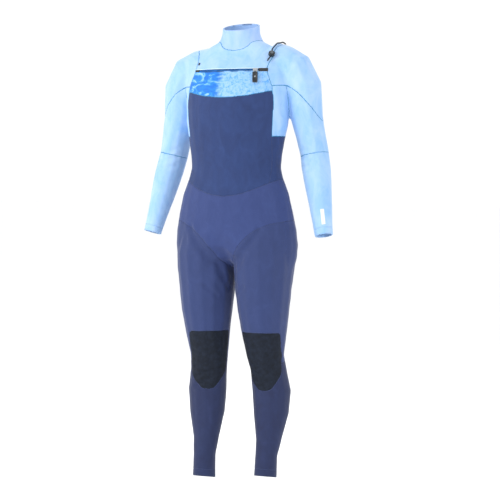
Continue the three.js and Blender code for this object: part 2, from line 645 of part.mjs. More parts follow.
function addSidePanels(side) {
  const name = sideName(side);
  const elbow = elbowCentre(side);
  const forearmMiddle = elbow.clone().lerp(wristCentre(side), 0.4);
  const cuff = wristCentre(side).addScaledVector(forearmWay(side), -WRIST_HEM_WIDTH / 2);
  const knee = legStations(side)[7].middle;
  addPanel(`shoulder_panel_${name}`, skinFromFront(side * SHOULDER_POINT, SHOULDER - 30).point, SKY);
  addPanel(`side_panel_${name}`, vec(side * BUST_HALF_WIDTH, 14, ARMPIT - 12), SKY);
  addPanel(`waist_side_panel_${name}`, vec(side * (WAIST_HALF_WIDTH + 2), 0, WAIST), NAVY);
  addPanel(`upper_sleeve_${name}`, elbow.clone().add(vec(0, -ELBOW_RADIUS, UPPER_ARM / 4)), SKY);
  addPanel(`forearm_sleeve_${name}`, forearmMiddle.add(vec(0, -ELBOW_RADIUS, 0)), SKY);
  addPanel(`wrist_hem_${name}`, cuff.add(vec(0, -WRIST_RADIUS, 0)), SKY);
  addPanel(`thigh_panel_${name}`, skinFromFront(knee.x, KNEE + KNEE_TO_CROTCH / 2 + 30).point, NAVY);
  addPanel(`knee_pad_${name}`, skinFromFront(knee.x, KNEE + 10).point, CHARCOAL);
  addPanel(`calf_panel_${name}`, skinFromBack(knee.x, CALF).point, NAVY);
  const hem = ankleHem(side).add(vec(0, -ANKLE_RADIUS, ANKLE_HEM_WIDTH * 0.8));
  addPanel(`ankle_hem_${name}`, hem, NAVY);
}

addMiddlePanels();
addSidePanels(LEFT);
addSidePanels(RIGHT);

// ---------------------------------------------------------------- chest zip

const HALF_SLOT = ZIP_SLOT_HEIGHT / 2 - CLEARANCE;
const TAPE_HEIGHT = 1.3;
const TAPE_OUTER = -1.6;
const TAPE_INNER = -3;
const TEETH_OUTER = -0.7;
const TEETH_INNER = -3.2;
const TOOTH_DEPTH = 1;
const TEETH_HALF_GAP = 0.15;
const ZIP_END = ZIP_HALF_SPAN - 2;

// one row of teeth on its strip; up is 1 for the upper row and -1 for the lower one
function teethRow(up) {
  const end = ZIP_END;
  const root = HALF_SLOT - TAPE_HEIGHT - CLEARANCE;
  const tip = TEETH_HALF_GAP;
  const bar = (from, to, near, far, steps) => zipBar(
    from, to, TEETH_INNER, TEETH_OUTER, Math.min(up * near, up * far), Math.max(up * near, up * far), steps);
  const solids = [bar(-end, end, tip + TOOTH_DEPTH, root, 20)];
  for (let from = -end; from + TOOTH_PITCH / 2 < end; from += TOOTH_PITCH) {
    solids.push(bar(from, from + TOOTH_PITCH / 2, tip, tip + TOOTH_DEPTH + 0.2, 1));
  }
  return joined(solids);
}

function addZip() {
  const end = ZIP_END;
  addSolid('zip_teeth_upper', teethRow(1), BLACK);
  addSolid('zip_teeth_lower', teethRow(-1), BLACK);
  const tape = (low, high) => zipBar(-end, end, TAPE_INNER, TAPE_OUTER, low, high);
  addSolid('zip_tape_upper', tape(HALF_SLOT - TAPE_HEIGHT, HALF_SLOT), BLACK);
  addSolid('zip_tape_lower', tape(-HALF_SLOT, TAPE_HEIGHT - HALF_SLOT), BLACK);
}

// the slider and its pull are built about the slider's middle: x along the zip, y up, z outwards
const SLIDER_LIFT = 3.6;
const SLIDER_THICKNESS = 2.2;
const BRIDGE_GAP = 3;
const BRIDGE_WALL = 1.6;
const BRIDGE_LENGTH = 4;
const PULL_WIRE = 1.6;
const PIVOT_OUT = SLIDER_LIFT + SLIDER_THICKNESS + BRIDGE_GAP / 2;
const sliderAngle = zipAngle(SLIDER_PLACE);

function atSlider(geometry) {
  const along = vec(Math.cos(sliderAngle), Math.sin(sliderAngle), 0);
  const outwards = vec(Math.sin(sliderAngle), -Math.cos(sliderAngle), 0);
  const place = new THREE.Matrix4().makeBasis(along, vec(0, 0, 1), outwards);
  return geometry.applyMatrix4(place.setPosition(zipPoint(sliderAngle, 0, 0)));
}

function plate(shape, depth, fromOut) {
  const options = { depth, bevelEnabled: false, curveSegments: 4 };
  return new THREE.ExtrudeGeometry(shape, options).translate(0, 0, fromOut);
}

// a rectangle with its corners cut, centred on a point
function chamferedShape(middle, halfLength, halfHeight, cut) {
  const { x, y } = middle;
  return new THREE.Shape([
    flat(x - halfLength + cut, y - halfHeight), flat(x + halfLength - cut, y - halfHeight),
    flat(x + halfLength, y - halfHeight + cut), flat(x + halfLength, y + halfHeight - cut),
    flat(x + halfLength - cut, y + halfHeight), flat(x - halfLength + cut, y + halfHeight),
    flat(x - halfLength, y + halfHeight - cut), flat(x - halfLength, y - halfHeight + cut),
  ]);
}

function sliderSolid() {
  const outline = chamferedShape(flat(0, 0), SLIDER_LENGTH / 2, SLIDER_HEIGHT / 2, 2);
  const body = plate(outline, SLIDER_THICKNESS, SLIDER_LIFT);
  const coreFoot = TEETH_OUTER + CLEARANCE;
  const core = plate(
    chamferedShape(flat(0, 0), SLIDER_LENGTH / 2 - 1, HALF_SLOT - 2, 0.5), SLIDER_LIFT - coreFoot + 0.5, coreFoot);
  const arch = bridgeShape();
  const bridge = new THREE.ExtrudeGeometry(arch, { depth: BRIDGE_LENGTH, bevelEnabled: false })
    .rotateY(Math.PI / 2).translate(-BRIDGE_LENGTH / 2, 0, 0);
  return joined([atSlider(body), atSlider(core), atSlider(bridge)].map(solidOf));
}

// the bridge that the pull hangs in, drawn with -x outwards and y up
function bridgeShape() {
  const foot = -(SLIDER_LIFT + SLIDER_THICKNESS - 0.4);
  const under = -(SLIDER_LIFT + SLIDER_THICKNESS + BRIDGE_GAP);
  const inside = 2.4;
  const outside = inside + BRIDGE_WALL;
  return new THREE.Shape([
    flat(foot, -outside), flat(foot, -inside), flat(under, -inside), flat(under, inside), flat(foot, inside),
    flat(foot, outside), flat(under - 1, outside), flat(under - BRIDGE_WALL, outside - 1),
    flat(under - BRIDGE_WALL, 1 - outside), flat(under - 1, -outside),
  ]);
}

// the pull leans out as the chest below the zip does
const PULL_REACH = PULL_TAB_LENGTH + 8;
const PULL_ROOM = 5.6;          // keeps the tab off the fullest part of the chest as it travels
const chestBelow = skinFromFront(SLIDER_PLACE, ZIP - PULL_REACH).point;
const belowOut = Math.hypot(chestBelow.x, chestBelow.y - ZIP_CENTRE_Y) - ZIP_RADIUS;
const PULL_LEAN = Math.atan2(belowOut + PULL_ROOM - PIVOT_OUT, PULL_REACH);

const hungOnBridge = (geometry) => atSlider(geometry
  .translate(0, 0, -PULL_WIRE / 2).rotateX(PULL_LEAN * -1).translate(0, 0, PIVOT_OUT));

const LINK_LENGTH = 11;
const LINK_HALF_WIDTH = 4.6;

function linkShape(grow) {
  const shape = new THREE.Shape([
    flat(-LINK_HALF_WIDTH - grow, 0.8 + grow), flat(-LINK_HALF_WIDTH - grow, -LINK_LENGTH - grow),
    flat(LINK_HALF_WIDTH + grow, -LINK_LENGTH - grow), flat(LINK_HALF_WIDTH + grow, 0.8 + grow),
  ]);
  const inside = LINK_HALF_WIDTH - PULL_WIRE - grow;
  shape.holes.push(new THREE.Path([
    flat(-inside, -0.8 - grow), flat(inside, -0.8 - grow),
    flat(inside, -LINK_LENGTH + PULL_WIRE + grow), flat(-inside, -LINK_LENGTH + PULL_WIRE + grow),
  ]));
  return shape;
}

function addSlider() {
  addSolid('zip_slider', sliderSolid(), BLACK);
  const link = plate(linkShape(0), PULL_WIRE, 0);
  addSolid('zip_pull_link', solidOf(hungOnBridge(link)), GREY_METAL);
  const tabTop = -LINK_LENGTH + PULL_WIRE + 2;
  const tabMiddle = flat(0, tabTop - PULL_TAB_LENGTH / 2);
  const tabShape = chamferedShape(tabMiddle, PULL_TAB_WIDTH / 2, PULL_TAB_LENGTH / 2, 1.5);
  const tab = plate(tabShape, PULL_WIRE + 1.6, -0.8);
  const room = plate(linkShape(CLEARANCE), PULL_WIRE + 2 * CLEARANCE, -CLEARANCE);
  addSolid('zip_pull_tab', solidOf(hungOnBridge(tab)).subtract(solidOf(hungOnBridge(room))), BLACK);
  const start = SLIDER_PLACE + SLIDER_LENGTH / 2 + 2;
  const half = SLIDER_HEIGHT / 2;
  const garage = zipBar(start, start + GARAGE_LENGTH, SLIDER_LIFT - 0.6, SLIDER_LIFT + 0.8, -half, half, 4);
  addSolid('zip_garage', garage, BLACK);
  const stopStart = -ZIP_HALF_SPAN + 1;
  addSolid('zip_end_stop', zipBar(stopStart, stopStart + END_STOP_LENGTH, -0.3, 3.4, -3, 3, 3), BLACK);
}

addZip();
addSlider();

// the storm flap: a thin sheet inside the chest that keeps water from running in through the zip
function addStormFlap() {
  const sheet = limb(TRUNK, { ...TRUNK_LOFT, inset: NEOPRENE + STORM_FLAP_GAP })
    .subtract(limb(TRUNK, { ...TRUNK_LOFT, inset: NEOPRENE + STORM_FLAP_GAP + STORM_FLAP_THICKNESS }));
  const area = block(
    vec(-ZIP_HALF_SPAN + 8, -REACH, ZIP - STORM_FLAP_HEIGHT * 0.6),
    vec(ZIP_HALF_SPAN - 8, NECK_SET_BACK - 60, ZIP + STORM_FLAP_HEIGHT * 0.4),
  );
  addSolid('storm_flap', sheet.intersect(area), SKY_DEEP);
}

addStormFlap();

// ---------------------------------------------------------------- drawcord and cord lock

const CORD_LIFT = CORD_DIAMETER / 2 + 3.6;
const LOCK_FOOT = 5.8;          // how far the lock stands off the skin
const CORD_INSET = 5;           // the cord lies this far inside the flap's edge
const LOCK_SHARE = 0.22;        // how far along the cord the lock sits
const LOCK_FLOOR = CORD_LIFT - LOCK_FOOT + CORD_DIAMETER / 2 + 0.8;

// the cord follows the flap's edge over the shoulder, just clear of the skin
function cordCurve() {
  const plan = new THREE.SplineCurve(flapEdge(LEFT, CORD_INSET).slice(1, 5));
  const steps = 14;
  const points = [];
  for (let step = 0; step <= steps; step += 1) {
    const above = plan.getPoint(step / steps);
    const hit = skinFromAbove(above.x, above.y);
    points.push(hit.point.addScaledVector(hit.normal, CORD_LIFT));
  }
  return new THREE.CatmullRomCurve3(points);
}

const cordPath = cordCurve();

function roundSection(radius, sides) {
  const points = [];
  for (let side = 0; side < sides; side += 1) {
    const turn = 2 * Math.PI * side / sides;
    points.push(flat(radius * Math.cos(turn), radius * Math.sin(turn)));
  }
  return new THREE.Shape(points);
}

const tube = (path, radius, sides, steps) => new THREE.ExtrudeGeometry(
  roundSection(radius, sides), { extrudePath: path, steps, bevelEnabled: false });

// the lock's frame: y is outwards from the skin, about the cord's point that it sits on
const lockPoint = cordPath.getPointAt(LOCK_SHARE);
const lockOut = skinFromAbove(lockPoint.x, lockPoint.y).normal;
const lockFoot = lockPoint.clone().addScaledVector(lockOut, LOCK_FOOT - CORD_LIFT);

function atLock(geometry) {
  const turn = new THREE.Quaternion().setFromUnitVectors(vec(0, 1, 0), lockOut);
  return geometry.applyQuaternion(turn).translate(lockFoot.x, lockFoot.y, lockFoot.z);
}

const turned = (points, segments) => new THREE.LatheGeometry(points.map(([r, h]) => flat(r, h)), segments);

class CoilCurve extends THREE.Curve {
  constructor(radius, low, high, turns) {
    super();
    Object.assign(this, { radius, low, high, turns });
  }

  getPoint(share, target = vec(0, 0, 0)) {
    const turn = 2 * Math.PI * this.turns * share;
    const height = THREE.MathUtils.lerp(this.low, this.high, share);
    return target.set(this.radius * Math.cos(turn), height, this.radius * Math.sin(turn));
  }
}

function addDrawcord() {
  addSolid('flap_drawcord', solidOf(tube(cordPath, CORD_DIAMETER / 2, 8, 22)), BLACK);
  const outer = LOCK_DIAMETER / 2;
  const bore = BUTTON_DIAMETER / 2 + CLEARANCE;
  const shell = turned([
    [0, 0], [outer - 1, 0], [outer, 1], [outer, LOCK_HEIGHT - 1.5], [outer - 1.5, LOCK_HEIGHT],
    [bore, LOCK_HEIGHT], [bore, LOCK_FLOOR], [0, LOCK_FLOOR],
  ], 20);
  const tunnel = tube(cordPath, CORD_DIAMETER / 2 + CLEARANCE, 8, 22);
  addSolid('cord_lock_body', solidOf(atLock(shell)).subtract(solidOf(tunnel)), BLACK);
  const buttonFoot = LOCK_FLOOR + BUTTON_TRAVEL + 1.2;
  const buttonTop = LOCK_HEIGHT + BUTTON_TRAVEL + 0.5;
  const half = BUTTON_DIAMETER / 2;
  const button = turned([
    [0, buttonFoot], [half, buttonFoot], [half, buttonTop - 1], [half - 1, buttonTop], [0, buttonTop],
  ], 16);
  addSolid('cord_lock_button', solidOf(atLock(button)), CHARCOAL);
  const coil = new CoilCurve(half - 1.2, LOCK_FLOOR + 0.8, buttonFoot - 0.8, 2);
  addSolid('cord_lock_spring', solidOf(atLock(tube(coil, 0.4, 5, 24))), STEEL);
}

addDrawcord();

// the small bar that holds the cord's far end on the other shoulder
function addCordAnchor() {
  const hit = skinFromFront(-ZIP_HALF_SPAN + 6, ZIP + 22);
  const turn = new THREE.Quaternion().setFromUnitVectors(vec(0, 0, 1), hit.normal);
  const bar = plate(chamferedShape(flat(0, 0), 2.5, 5, 0.8), 1.6, 0.5).applyQuaternion(turn);
  addSolid('cord_anchor', solidOf(bar.translate(hit.point.x, hit.point.y, hit.point.z)), BLACK);
}

addCordAnchor();

// the blank label on the left cuff, a thin plate that follows the sleeve
function addWristLabel() {
  const way = forearmWay(LEFT);
  const middle = wristCentre(LEFT).addScaledVector(way, -WRIST_HEM_WIDTH - 8 - LABEL_LENGTH / 2);
  const sheet = limb(armStations(LEFT), { ...ARM_LOFT, inset: -1.1 })
    .subtract(limb(armStations(LEFT), { ...ARM_LOFT, inset: -CLEARANCE }));
  const area = new THREE.BoxGeometry(LABEL_WIDTH, 80, LABEL_LENGTH).translate(0, -40, 0)
    .rotateZ(radians(24))
    .applyQuaternion(new THREE.Quaternion().setFromUnitVectors(vec(0, 0, -1), way))
    .translate(middle.x, middle.y, middle.z);
  addSolid('wrist_label', sheet.intersect(solidOf(area)), WHITE);
}

addWristLabel();

export default group;
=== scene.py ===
# %% [markdown]
# # A full wetsuit, piece by piece
# The suit hangs in the air as if a body filled it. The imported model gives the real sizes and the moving
# bodies; this lesson adds what the eye sees: soft curved panels, jersey faces, sewn seams and the zip.

# %% The frame
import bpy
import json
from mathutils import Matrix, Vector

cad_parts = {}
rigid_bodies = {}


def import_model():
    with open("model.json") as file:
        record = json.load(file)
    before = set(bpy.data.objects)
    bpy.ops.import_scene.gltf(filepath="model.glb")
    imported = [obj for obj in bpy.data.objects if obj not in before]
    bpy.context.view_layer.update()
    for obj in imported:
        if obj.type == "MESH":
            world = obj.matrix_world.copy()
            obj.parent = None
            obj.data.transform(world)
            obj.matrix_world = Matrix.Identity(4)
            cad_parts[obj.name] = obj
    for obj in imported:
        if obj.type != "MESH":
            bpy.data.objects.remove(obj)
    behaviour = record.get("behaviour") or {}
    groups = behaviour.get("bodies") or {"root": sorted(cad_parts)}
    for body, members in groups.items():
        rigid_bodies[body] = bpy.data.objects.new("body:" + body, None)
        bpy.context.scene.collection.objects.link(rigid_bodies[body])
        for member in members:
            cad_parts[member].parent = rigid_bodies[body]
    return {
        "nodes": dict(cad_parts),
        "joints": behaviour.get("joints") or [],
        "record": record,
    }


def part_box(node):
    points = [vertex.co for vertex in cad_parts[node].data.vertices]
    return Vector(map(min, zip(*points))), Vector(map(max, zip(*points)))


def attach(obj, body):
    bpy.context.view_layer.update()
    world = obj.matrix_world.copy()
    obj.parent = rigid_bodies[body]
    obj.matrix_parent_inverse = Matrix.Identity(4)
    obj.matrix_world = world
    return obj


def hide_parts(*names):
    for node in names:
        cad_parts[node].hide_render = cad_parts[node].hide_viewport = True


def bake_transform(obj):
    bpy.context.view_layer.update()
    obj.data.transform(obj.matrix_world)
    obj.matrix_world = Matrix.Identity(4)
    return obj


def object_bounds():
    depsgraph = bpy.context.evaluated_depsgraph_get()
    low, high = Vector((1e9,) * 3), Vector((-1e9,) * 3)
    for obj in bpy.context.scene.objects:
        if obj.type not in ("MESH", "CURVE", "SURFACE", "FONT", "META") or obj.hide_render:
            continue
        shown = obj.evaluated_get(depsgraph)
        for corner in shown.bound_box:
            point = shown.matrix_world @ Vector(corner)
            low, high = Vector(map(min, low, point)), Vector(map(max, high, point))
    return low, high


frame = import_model()
cad_box = [list(corner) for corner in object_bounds()]

import json
import math

import bmesh
import bpy
import numpy as np
from mathutils import Vector, noise
from mathutils.bvhtree import BVHTree

MM = 0.001

# %% [markdown]
# ## Camera, light and floor
# A catalogue picture of a garment is taken from chest height with a long lens, so that the legs don't shrink.
# The light comes from large soft boxes, the main one on the wearer's right, over a pale floor.

# %% Camera
LOW, HIGH = (Vector(corner) for corner in cad_box)
MIDDLE = (LOW + HIGH) / 2

VIEW_AZIMUTH = math.radians(22)
CAMERA_DISTANCE = 4.5
CAMERA_RISE = 0.27
FRAME_WIDTH = 1.531
SENSOR_WIDTH = 36
AIM_FORWARD, AIM_UP, AIM_RIGHT = 0.045, 0.009, 0.043
to_right = Vector((math.cos(VIEW_AZIMUTH), math.sin(VIEW_AZIMUTH), 0))
to_camera = Vector((math.sin(VIEW_AZIMUTH), -math.cos(VIEW_AZIMUTH), 0))

camera_data = bpy.data.cameras.new("camera")
camera = bpy.data.objects.new("camera", camera_data)
bpy.context.scene.collection.objects.link(camera)
aim = Vector((0, -AIM_FORWARD, MIDDLE.z + AIM_UP)) + AIM_RIGHT * to_right
camera.location = aim + CAMERA_DISTANCE * to_camera + Vector((0, 0, CAMERA_RISE))
camera.rotation_euler = (aim - camera.location).to_track_quat("-Z", "Y").to_euler()
camera_data.sensor_width = SENSOR_WIDTH
camera_data.lens = SENSOR_WIDTH * CAMERA_DISTANCE / FRAME_WIDTH
bpy.context.scene.camera = camera
print("camera at", [round(value, 2) for value in camera.location])


# %% Lights and floor
def linear(hex_colour):
    """An sRGB hex colour as the linear red, green, blue and alpha that a shader takes."""
    parts = [int(hex_colour[at:at + 2], 16) / 255 for at in (1, 3, 5)]
    return tuple(p / 12.92 if p <= 0.04045 else ((p + 0.055) / 1.055) ** 2.4 for p in parts) + (1.0,)


def shown(thing):
    bpy.context.scene.collection.objects.link(thing)
    return thing


def soft_box(name, place, size, power):
    data = bpy.data.lights.new(name, "AREA")
    data.size, data.energy = size, power
    lamp = bpy.data.objects.new(name, data)
    lamp.location = place
    lamp.rotation_euler = (MIDDLE - lamp.location).to_track_quat("-Z", "Y").to_euler()
    shown(lamp)


soft_box("key_light", MIDDLE + Vector((-1.9, -2.3, 1.3)), 1.6, 44)
soft_box("fill_light", MIDDLE + Vector((2.4, -1.6, 0.6)), 1.8, 9)
soft_box("rim_light", MIDDLE + Vector((-0.6, 2.4, 1.4)), 1.4, 26)

world = bpy.data.worlds.new("studio")
world.use_nodes = True
backdrop = world.node_tree.nodes["Background"].inputs
backdrop["Color"].default_value = linear("#ffffff")
backdrop["Strength"].default_value = 1.04
bpy.context.scene.world = world
bpy.context.scene.view_settings.view_transform = "Standard"


def new_object(name, vertices, faces, material=None):
    mesh = bpy.data.meshes.new(name)
    mesh.from_pydata([tuple(v) for v in vertices], [], [tuple(f) for f in faces])
    mesh.polygons.foreach_set("use_smooth", [True] * len(mesh.polygons))
    if material:
        mesh.materials.append(material)
    return shown(bpy.data.objects.new(name, mesh))


def facing_out(thing):
    builder = bmesh.new()
    builder.from_mesh(thing.data)
    bmesh.ops.recalc_face_normals(builder, faces=builder.faces)
    builder.to_mesh(thing.data)
    builder.free()
    return thing


FLOOR_DROP = 0.07               # a wearer's feet would reach this far below the hems
FLOOR_HALF = 30
floor_corners = [(x * FLOOR_HALF, y * FLOOR_HALF, LOW.z - FLOOR_DROP)
                 for x, y in ((-1, -1), (1, -1), (1, 1), (-1, 1))]
floor = new_object("studio_floor", floor_corners, [(0, 1, 2, 3)])

# %% [markdown]
# ## Finishes
# Wetsuit cloth is foam rubber with a knitted nylon jersey glued to both faces. The jersey gives a dull surface
# with a soft sheen at grazing angles and very fine ribs. Each finish below is named for its real material.


# %% A node helper
def add(tree, kind, inputs=None, stops=(), **settings):
    """Adds one node, sets its settings and colour stops, and links or sets its inputs by name or number."""
    node = tree.nodes.new(kind)
    for extra in stops[2:]:
        node.color_ramp.elements.new(0.5)
    for number, (place, colour) in enumerate(stops):
        element = node.color_ramp.elements[number]
        element.position, element.color = place, linear(colour)
    for key, value in settings.items():
        setattr(node, key, value)
    for key, value in (inputs or {}).items():
        if isinstance(value, bpy.types.NodeSocket):
            tree.links.new(value, node.inputs[key])
        else:
            node.inputs[key].default_value = value
    return node


def new_material(name, roughness, **sockets):
    material = bpy.data.materials.new(name)
    material.use_nodes = True
    tree = material.node_tree
    shader = tree.nodes["Principled BSDF"]
    shader.inputs["Roughness"].default_value = roughness
    for key, value in sockets.items():
        shader.inputs[key.replace("_", " ")].default_value = value
    return material, tree, shader


def place_in_mm(tree, scale=(1, 1, 1), turn=(0, 0, 0)):
    """Object coordinates in millimetres, stretched and turned."""
    source = add(tree, "ShaderNodeTexCoord")
    size = [1000 * value for value in scale]
    mapped = add(tree, "ShaderNodeMapping", {"Vector": source.outputs["Object"], "Scale": size,
                 "Rotation": turn})
    return mapped.outputs["Vector"]


# %% Jersey
# Knitted nylon jersey: stitches about 0.6 mm wide, drawn at 1.6 mm so that they show.
KNIT_PITCH = 1.6


def knit_bump(tree, shader, strength):
    cells = add(tree, "ShaderNodeTexVoronoi", {"Vector": place_in_mm(tree, (1, 1, 0.55)),
                "Scale": 1 / KNIT_PITCH})
    slubs = add(tree, "ShaderNodeTexNoise", {"Vector": place_in_mm(tree), "Scale": 0.12, "Detail": 3.0})
    height = add(tree, "ShaderNodeMath", {0: slubs.outputs["Fac"], 1: 1.6}, operation="MULTIPLY")
    both = add(tree, "ShaderNodeMath", {0: cells.outputs["Distance"], 1: height.outputs[0]}, operation="ADD")
    bump = add(tree, "ShaderNodeBump", {"Height": both.outputs[0], "Strength": strength, "Distance": 0.0004})
    tree.links.new(bump.outputs["Normal"], shader.inputs["Normal"])


def jersey(name, stops, mottle_mm, sheen=0.25):
    material, tree, shader = new_material(name, 0.78, Sheen_Weight=sheen, Sheen_Roughness=0.45,
                                          Specular_IOR_Level=0.3)
    clouds = add(tree, "ShaderNodeTexNoise", {"Vector": place_in_mm(tree, (1, 1, 0.6)),
                 "Scale": 1 / mottle_mm, "Detail": 5.0, "Roughness": 0.6, "Distortion": 0.7})
    fibres = add(tree, "ShaderNodeTexNoise", {"Vector": place_in_mm(tree), "Scale": 0.9, "Detail": 2.0})
    share = add(tree, "ShaderNodeMath", {0: fibres.outputs["Fac"], 1: 0.12, 2: clouds.outputs["Fac"]},
                operation="MULTIPLY_ADD")
    colour = add(tree, "ShaderNodeValToRGB", {"Fac": share.outputs[0]}, stops)
    tree.links.new(colour.outputs["Color"], shader.inputs["Base Color"])
    knit_bump(tree, shader, 0.55)
    return material


def navy_jersey(name, *colours, sheen):
    return jersey(f"nylon_jersey_{name}", list(zip((0.35, 0.6, 0.8), colours)), 30, sheen)


SKY = jersey("nylon_jersey_sky_blue",
             [(0.36, "#8ebcee"), (0.5, "#9bc3f0"), (0.62, "#a4c8f2"), (0.8, "#b2d0f5")], 46)
COLLAR = jersey("nylon_jersey_collar", [(0.36, "#93bbed"), (0.55, "#a1c2f1"), (0.75, "#b0caf4")], 60)
NAVY = navy_jersey("navy", "#273865", "#2a3d6d", "#2e4274", sheen=0.12)
HIP_NAVY = navy_jersey("hip_navy", "#324173", "#354477", "#38487c", sheen=0.14)
THIGH_NAVY = navy_jersey("thigh_navy", "#303e6a", "#32406e", "#354473", sheen=0.14)
# Painted shade: the same navy jersey made darker for the calf panels and ankle hems, where less light falls.
SHADED_NAVY_LOWER_LEG = navy_jersey("dark_navy", "#242c4e", "#263054", "#2a345a", sheen=0.12)


# %% Printed chest
# The chest jersey is dyed like marbled paper: strong blue with pale slanted streaks towards the wearer's right,
# and pale blue with blue specks towards the left.
def printed_jersey():
    material, tree, shader = new_material("nylon_jersey_marbled_print", 0.74, Sheen_Weight=0.12,
                                          Sheen_Roughness=0.45)
    streaks = add(tree, "ShaderNodeTexNoise", {"Vector": place_in_mm(tree, (1, 1, 2.4), (0, -0.7, 0)),
                  "Scale": 0.022, "Detail": 6.0, "Roughness": 0.62, "Distortion": 1.2})
    strong = add(tree, "ShaderNodeValToRGB", {"Fac": streaks.outputs["Fac"]},
                 [(0.42, "#0f6fd0"), (0.54, "#1c84de"), (0.6, "#6fb2ee"), (0.72, "#a5cdf4")])
    specks = add(tree, "ShaderNodeTexNoise", {"Vector": place_in_mm(tree), "Scale": 0.11, "Detail": 6.0,
                 "Roughness": 0.66, "Distortion": 0.8})
    pale = add(tree, "ShaderNodeValToRGB", {"Fac": specks.outputs["Fac"]},
               [(0.36, "#4d99e2"), (0.45, "#80b6ec"), (0.56, "#93bfef"), (0.8, "#accbf3")])
    parts = add(tree, "ShaderNodeSeparateXYZ", {"Vector": place_in_mm(tree)})
    wander = add(tree, "ShaderNodeMath", {0: streaks.outputs["Fac"], 1: 70.0, 2: parts.outputs["X"]},
                 operation="MULTIPLY_ADD")
    side = add(tree, "ShaderNodeMapRange", {"Value": wander.outputs[0], "From Min": 2.0, "From Max": 26.0})
    mix = add(tree, "ShaderNodeMix", {"Factor": side.outputs["Result"], 6: strong.outputs["Color"],
              7: pale.outputs["Color"]}, data_type="RGBA")
    tree.links.new(mix.outputs[2], shader.inputs["Base Color"])
    knit_bump(tree, shader, 0.5)
    return material


PRINT = printed_jersey()


# %% Knee coat, tapes, rubber, metal
# A thin coat of rubber pressed over the jersey, with a fine grain that stands off like coarse emery cloth.
def grained(name, colours, roughness, grain_mm, depth_mm, places=(0.4, 0.8), **sockets):
    material, tree, shader = new_material(name, roughness, **sockets)
    grain = add(tree, "ShaderNodeTexVoronoi", {"Vector": place_in_mm(tree), "Scale": 1 / grain_mm})
    clouds = add(tree, "ShaderNodeTexNoise", {"Vector": place_in_mm(tree), "Scale": 0.08, "Detail": 4.0})
    share = add(tree, "ShaderNodeMath", {0: grain.outputs["Distance"], 1: 0.25, 2: clouds.outputs["Fac"]},
                operation="MULTIPLY_ADD")
    colour = add(tree, "ShaderNodeValToRGB", {"Fac": share.outputs[0]}, list(zip(places, colours)))
    tree.links.new(colour.outputs["Color"], shader.inputs["Base Color"])
    bump = add(tree, "ShaderNodeBump", {"Height": grain.outputs["Distance"], "Strength": 0.6,
               "Distance": depth_mm * MM})
    tree.links.new(bump.outputs["Normal"], shader.inputs["Normal"])
    return material


KNEE = grained("pressed_rubber_knee_coat", ("#121822", "#161d2a", "#1d2534"), 0.8, 2.2, 0.5,
               places=(0.4, 0.6, 0.85), Specular_IOR_Level=0.25)
BLACK_RUBBER = grained("moulded_black_rubber", ("#15181c", "#24282e"), 0.5, 1.2, 0.15)
BLACK_PLASTIC = grained("moulded_black_acetal", ("#121417", "#1e2226"), 0.38, 0.8, 0.06)
GREY_PLASTIC = grained("moulded_grey_acetal", ("#4a5057", "#636a72"), 0.4, 0.8, 0.06)
TAPE = grained("woven_polyester_tape", ("#1f3e63", "#2b5580"), 0.8, 0.7, 0.2)
TEETH = grained("moulded_blue_zip_teeth", ("#1f72c9", "#3d93e6"), 0.35, 1.0, 0.05)
METAL = grained("plated_zinc_alloy", ("#a9adb2", "#c8ccd0"), 0.32, 0.7, 0.05, Metallic=1.0)
CORD = grained("braided_elastic_cord", ("#0f1114", "#20242a"), 0.7, 1.1, 0.35)
PATCH = grained("printed_white_patch", ("#e4e8ec", "#f4f6f8"), 0.5, 1.0, 0.04)
TEAL_SEAM = grained("sealed_seam_teal", ("#1a6ea0", "#2f86b6"), 0.55, 1.4, 0.15)
NAVY_SEAM = grained("sealed_seam_navy", ("#26345c", "#304070"), 0.6, 1.4, 0.15)
BLUE_THREAD = grained("polyester_thread_blue", ("#2f7fb0", "#5aa5d2"), 0.5, 0.5, 0.05)
PALE_SEAM = grained("sealed_seam_pale", ("#8fb6e4", "#a6c6ef"), 0.55, 1.4, 0.15)
NAVY_THREAD = grained("polyester_thread_navy", ("#2a3863", "#374775"), 0.5, 0.5, 0.05)
LINING = jersey("nylon_jersey_lining", [(0.4, "#3f6f9e"), (0.7, "#5a8dbb")], 50)
floor_material, floor_tree, floor_shader = new_material("painted_studio_floor", 0.9)
speckle = add(floor_tree, "ShaderNodeTexNoise", {"Vector": place_in_mm(floor_tree), "Scale": 0.01})
floor_colour = add(floor_tree, "ShaderNodeValToRGB", {"Fac": speckle.outputs["Fac"]},
                   [(0.3, "#fafbfc"), (0.7, "#fcfcfd")])
floor_tree.links.new(floor_colour.outputs["Color"], floor_shader.inputs["Base Color"])
floor.data.materials.append(floor_material)
print("finishes:", len(bpy.data.materials))

# %% [markdown]
# ## One smooth skin
# The panels of a wetsuit meet edge to edge, so they have to share one smooth surface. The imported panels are
# joined, the open ends are plugged, and a voxel remesh turns them into one even skin. Smoothing takes away
# its flats, and only then is it cut into panels again.


# %% Panels of the frame
def coordinates(mesh):
    values = np.empty(len(mesh.vertices) * 3)
    mesh.vertices.foreach_get("co", values)
    return values.reshape(-1, 3)


def mesh_of(node):
    data = frame["nodes"][node].data
    return coordinates(data), [tuple(face.vertices) for face in data.polygons]


SIDES = ("left", "right")
ONE_OFF = ["neck_collar", "entry_flap", "chest_panel", "front_body_panel", "hip_front_panel",
           "upper_back_panel", "back_body_panel", "seat_panel"]
PAIRED = ["shoulder_panel", "side_panel", "waist_side_panel", "upper_sleeve", "forearm_sleeve", "wrist_hem",
          "thigh_panel", "knee_pad", "calf_panel", "ankle_hem"]
PANELS = ONE_OFF + [f"{name}_{side}" for name in PAIRED for side in SIDES]
ZIP_PARTS = ["zip_tape_upper", "zip_tape_lower", "zip_teeth_upper", "zip_teeth_lower"]
FILLERS = ZIP_PARTS + ["zip_end_stop", "zip_garage"]
solids = {name: mesh_of(name) for name in PANELS + FILLERS}
print("panels:", len(PANELS))

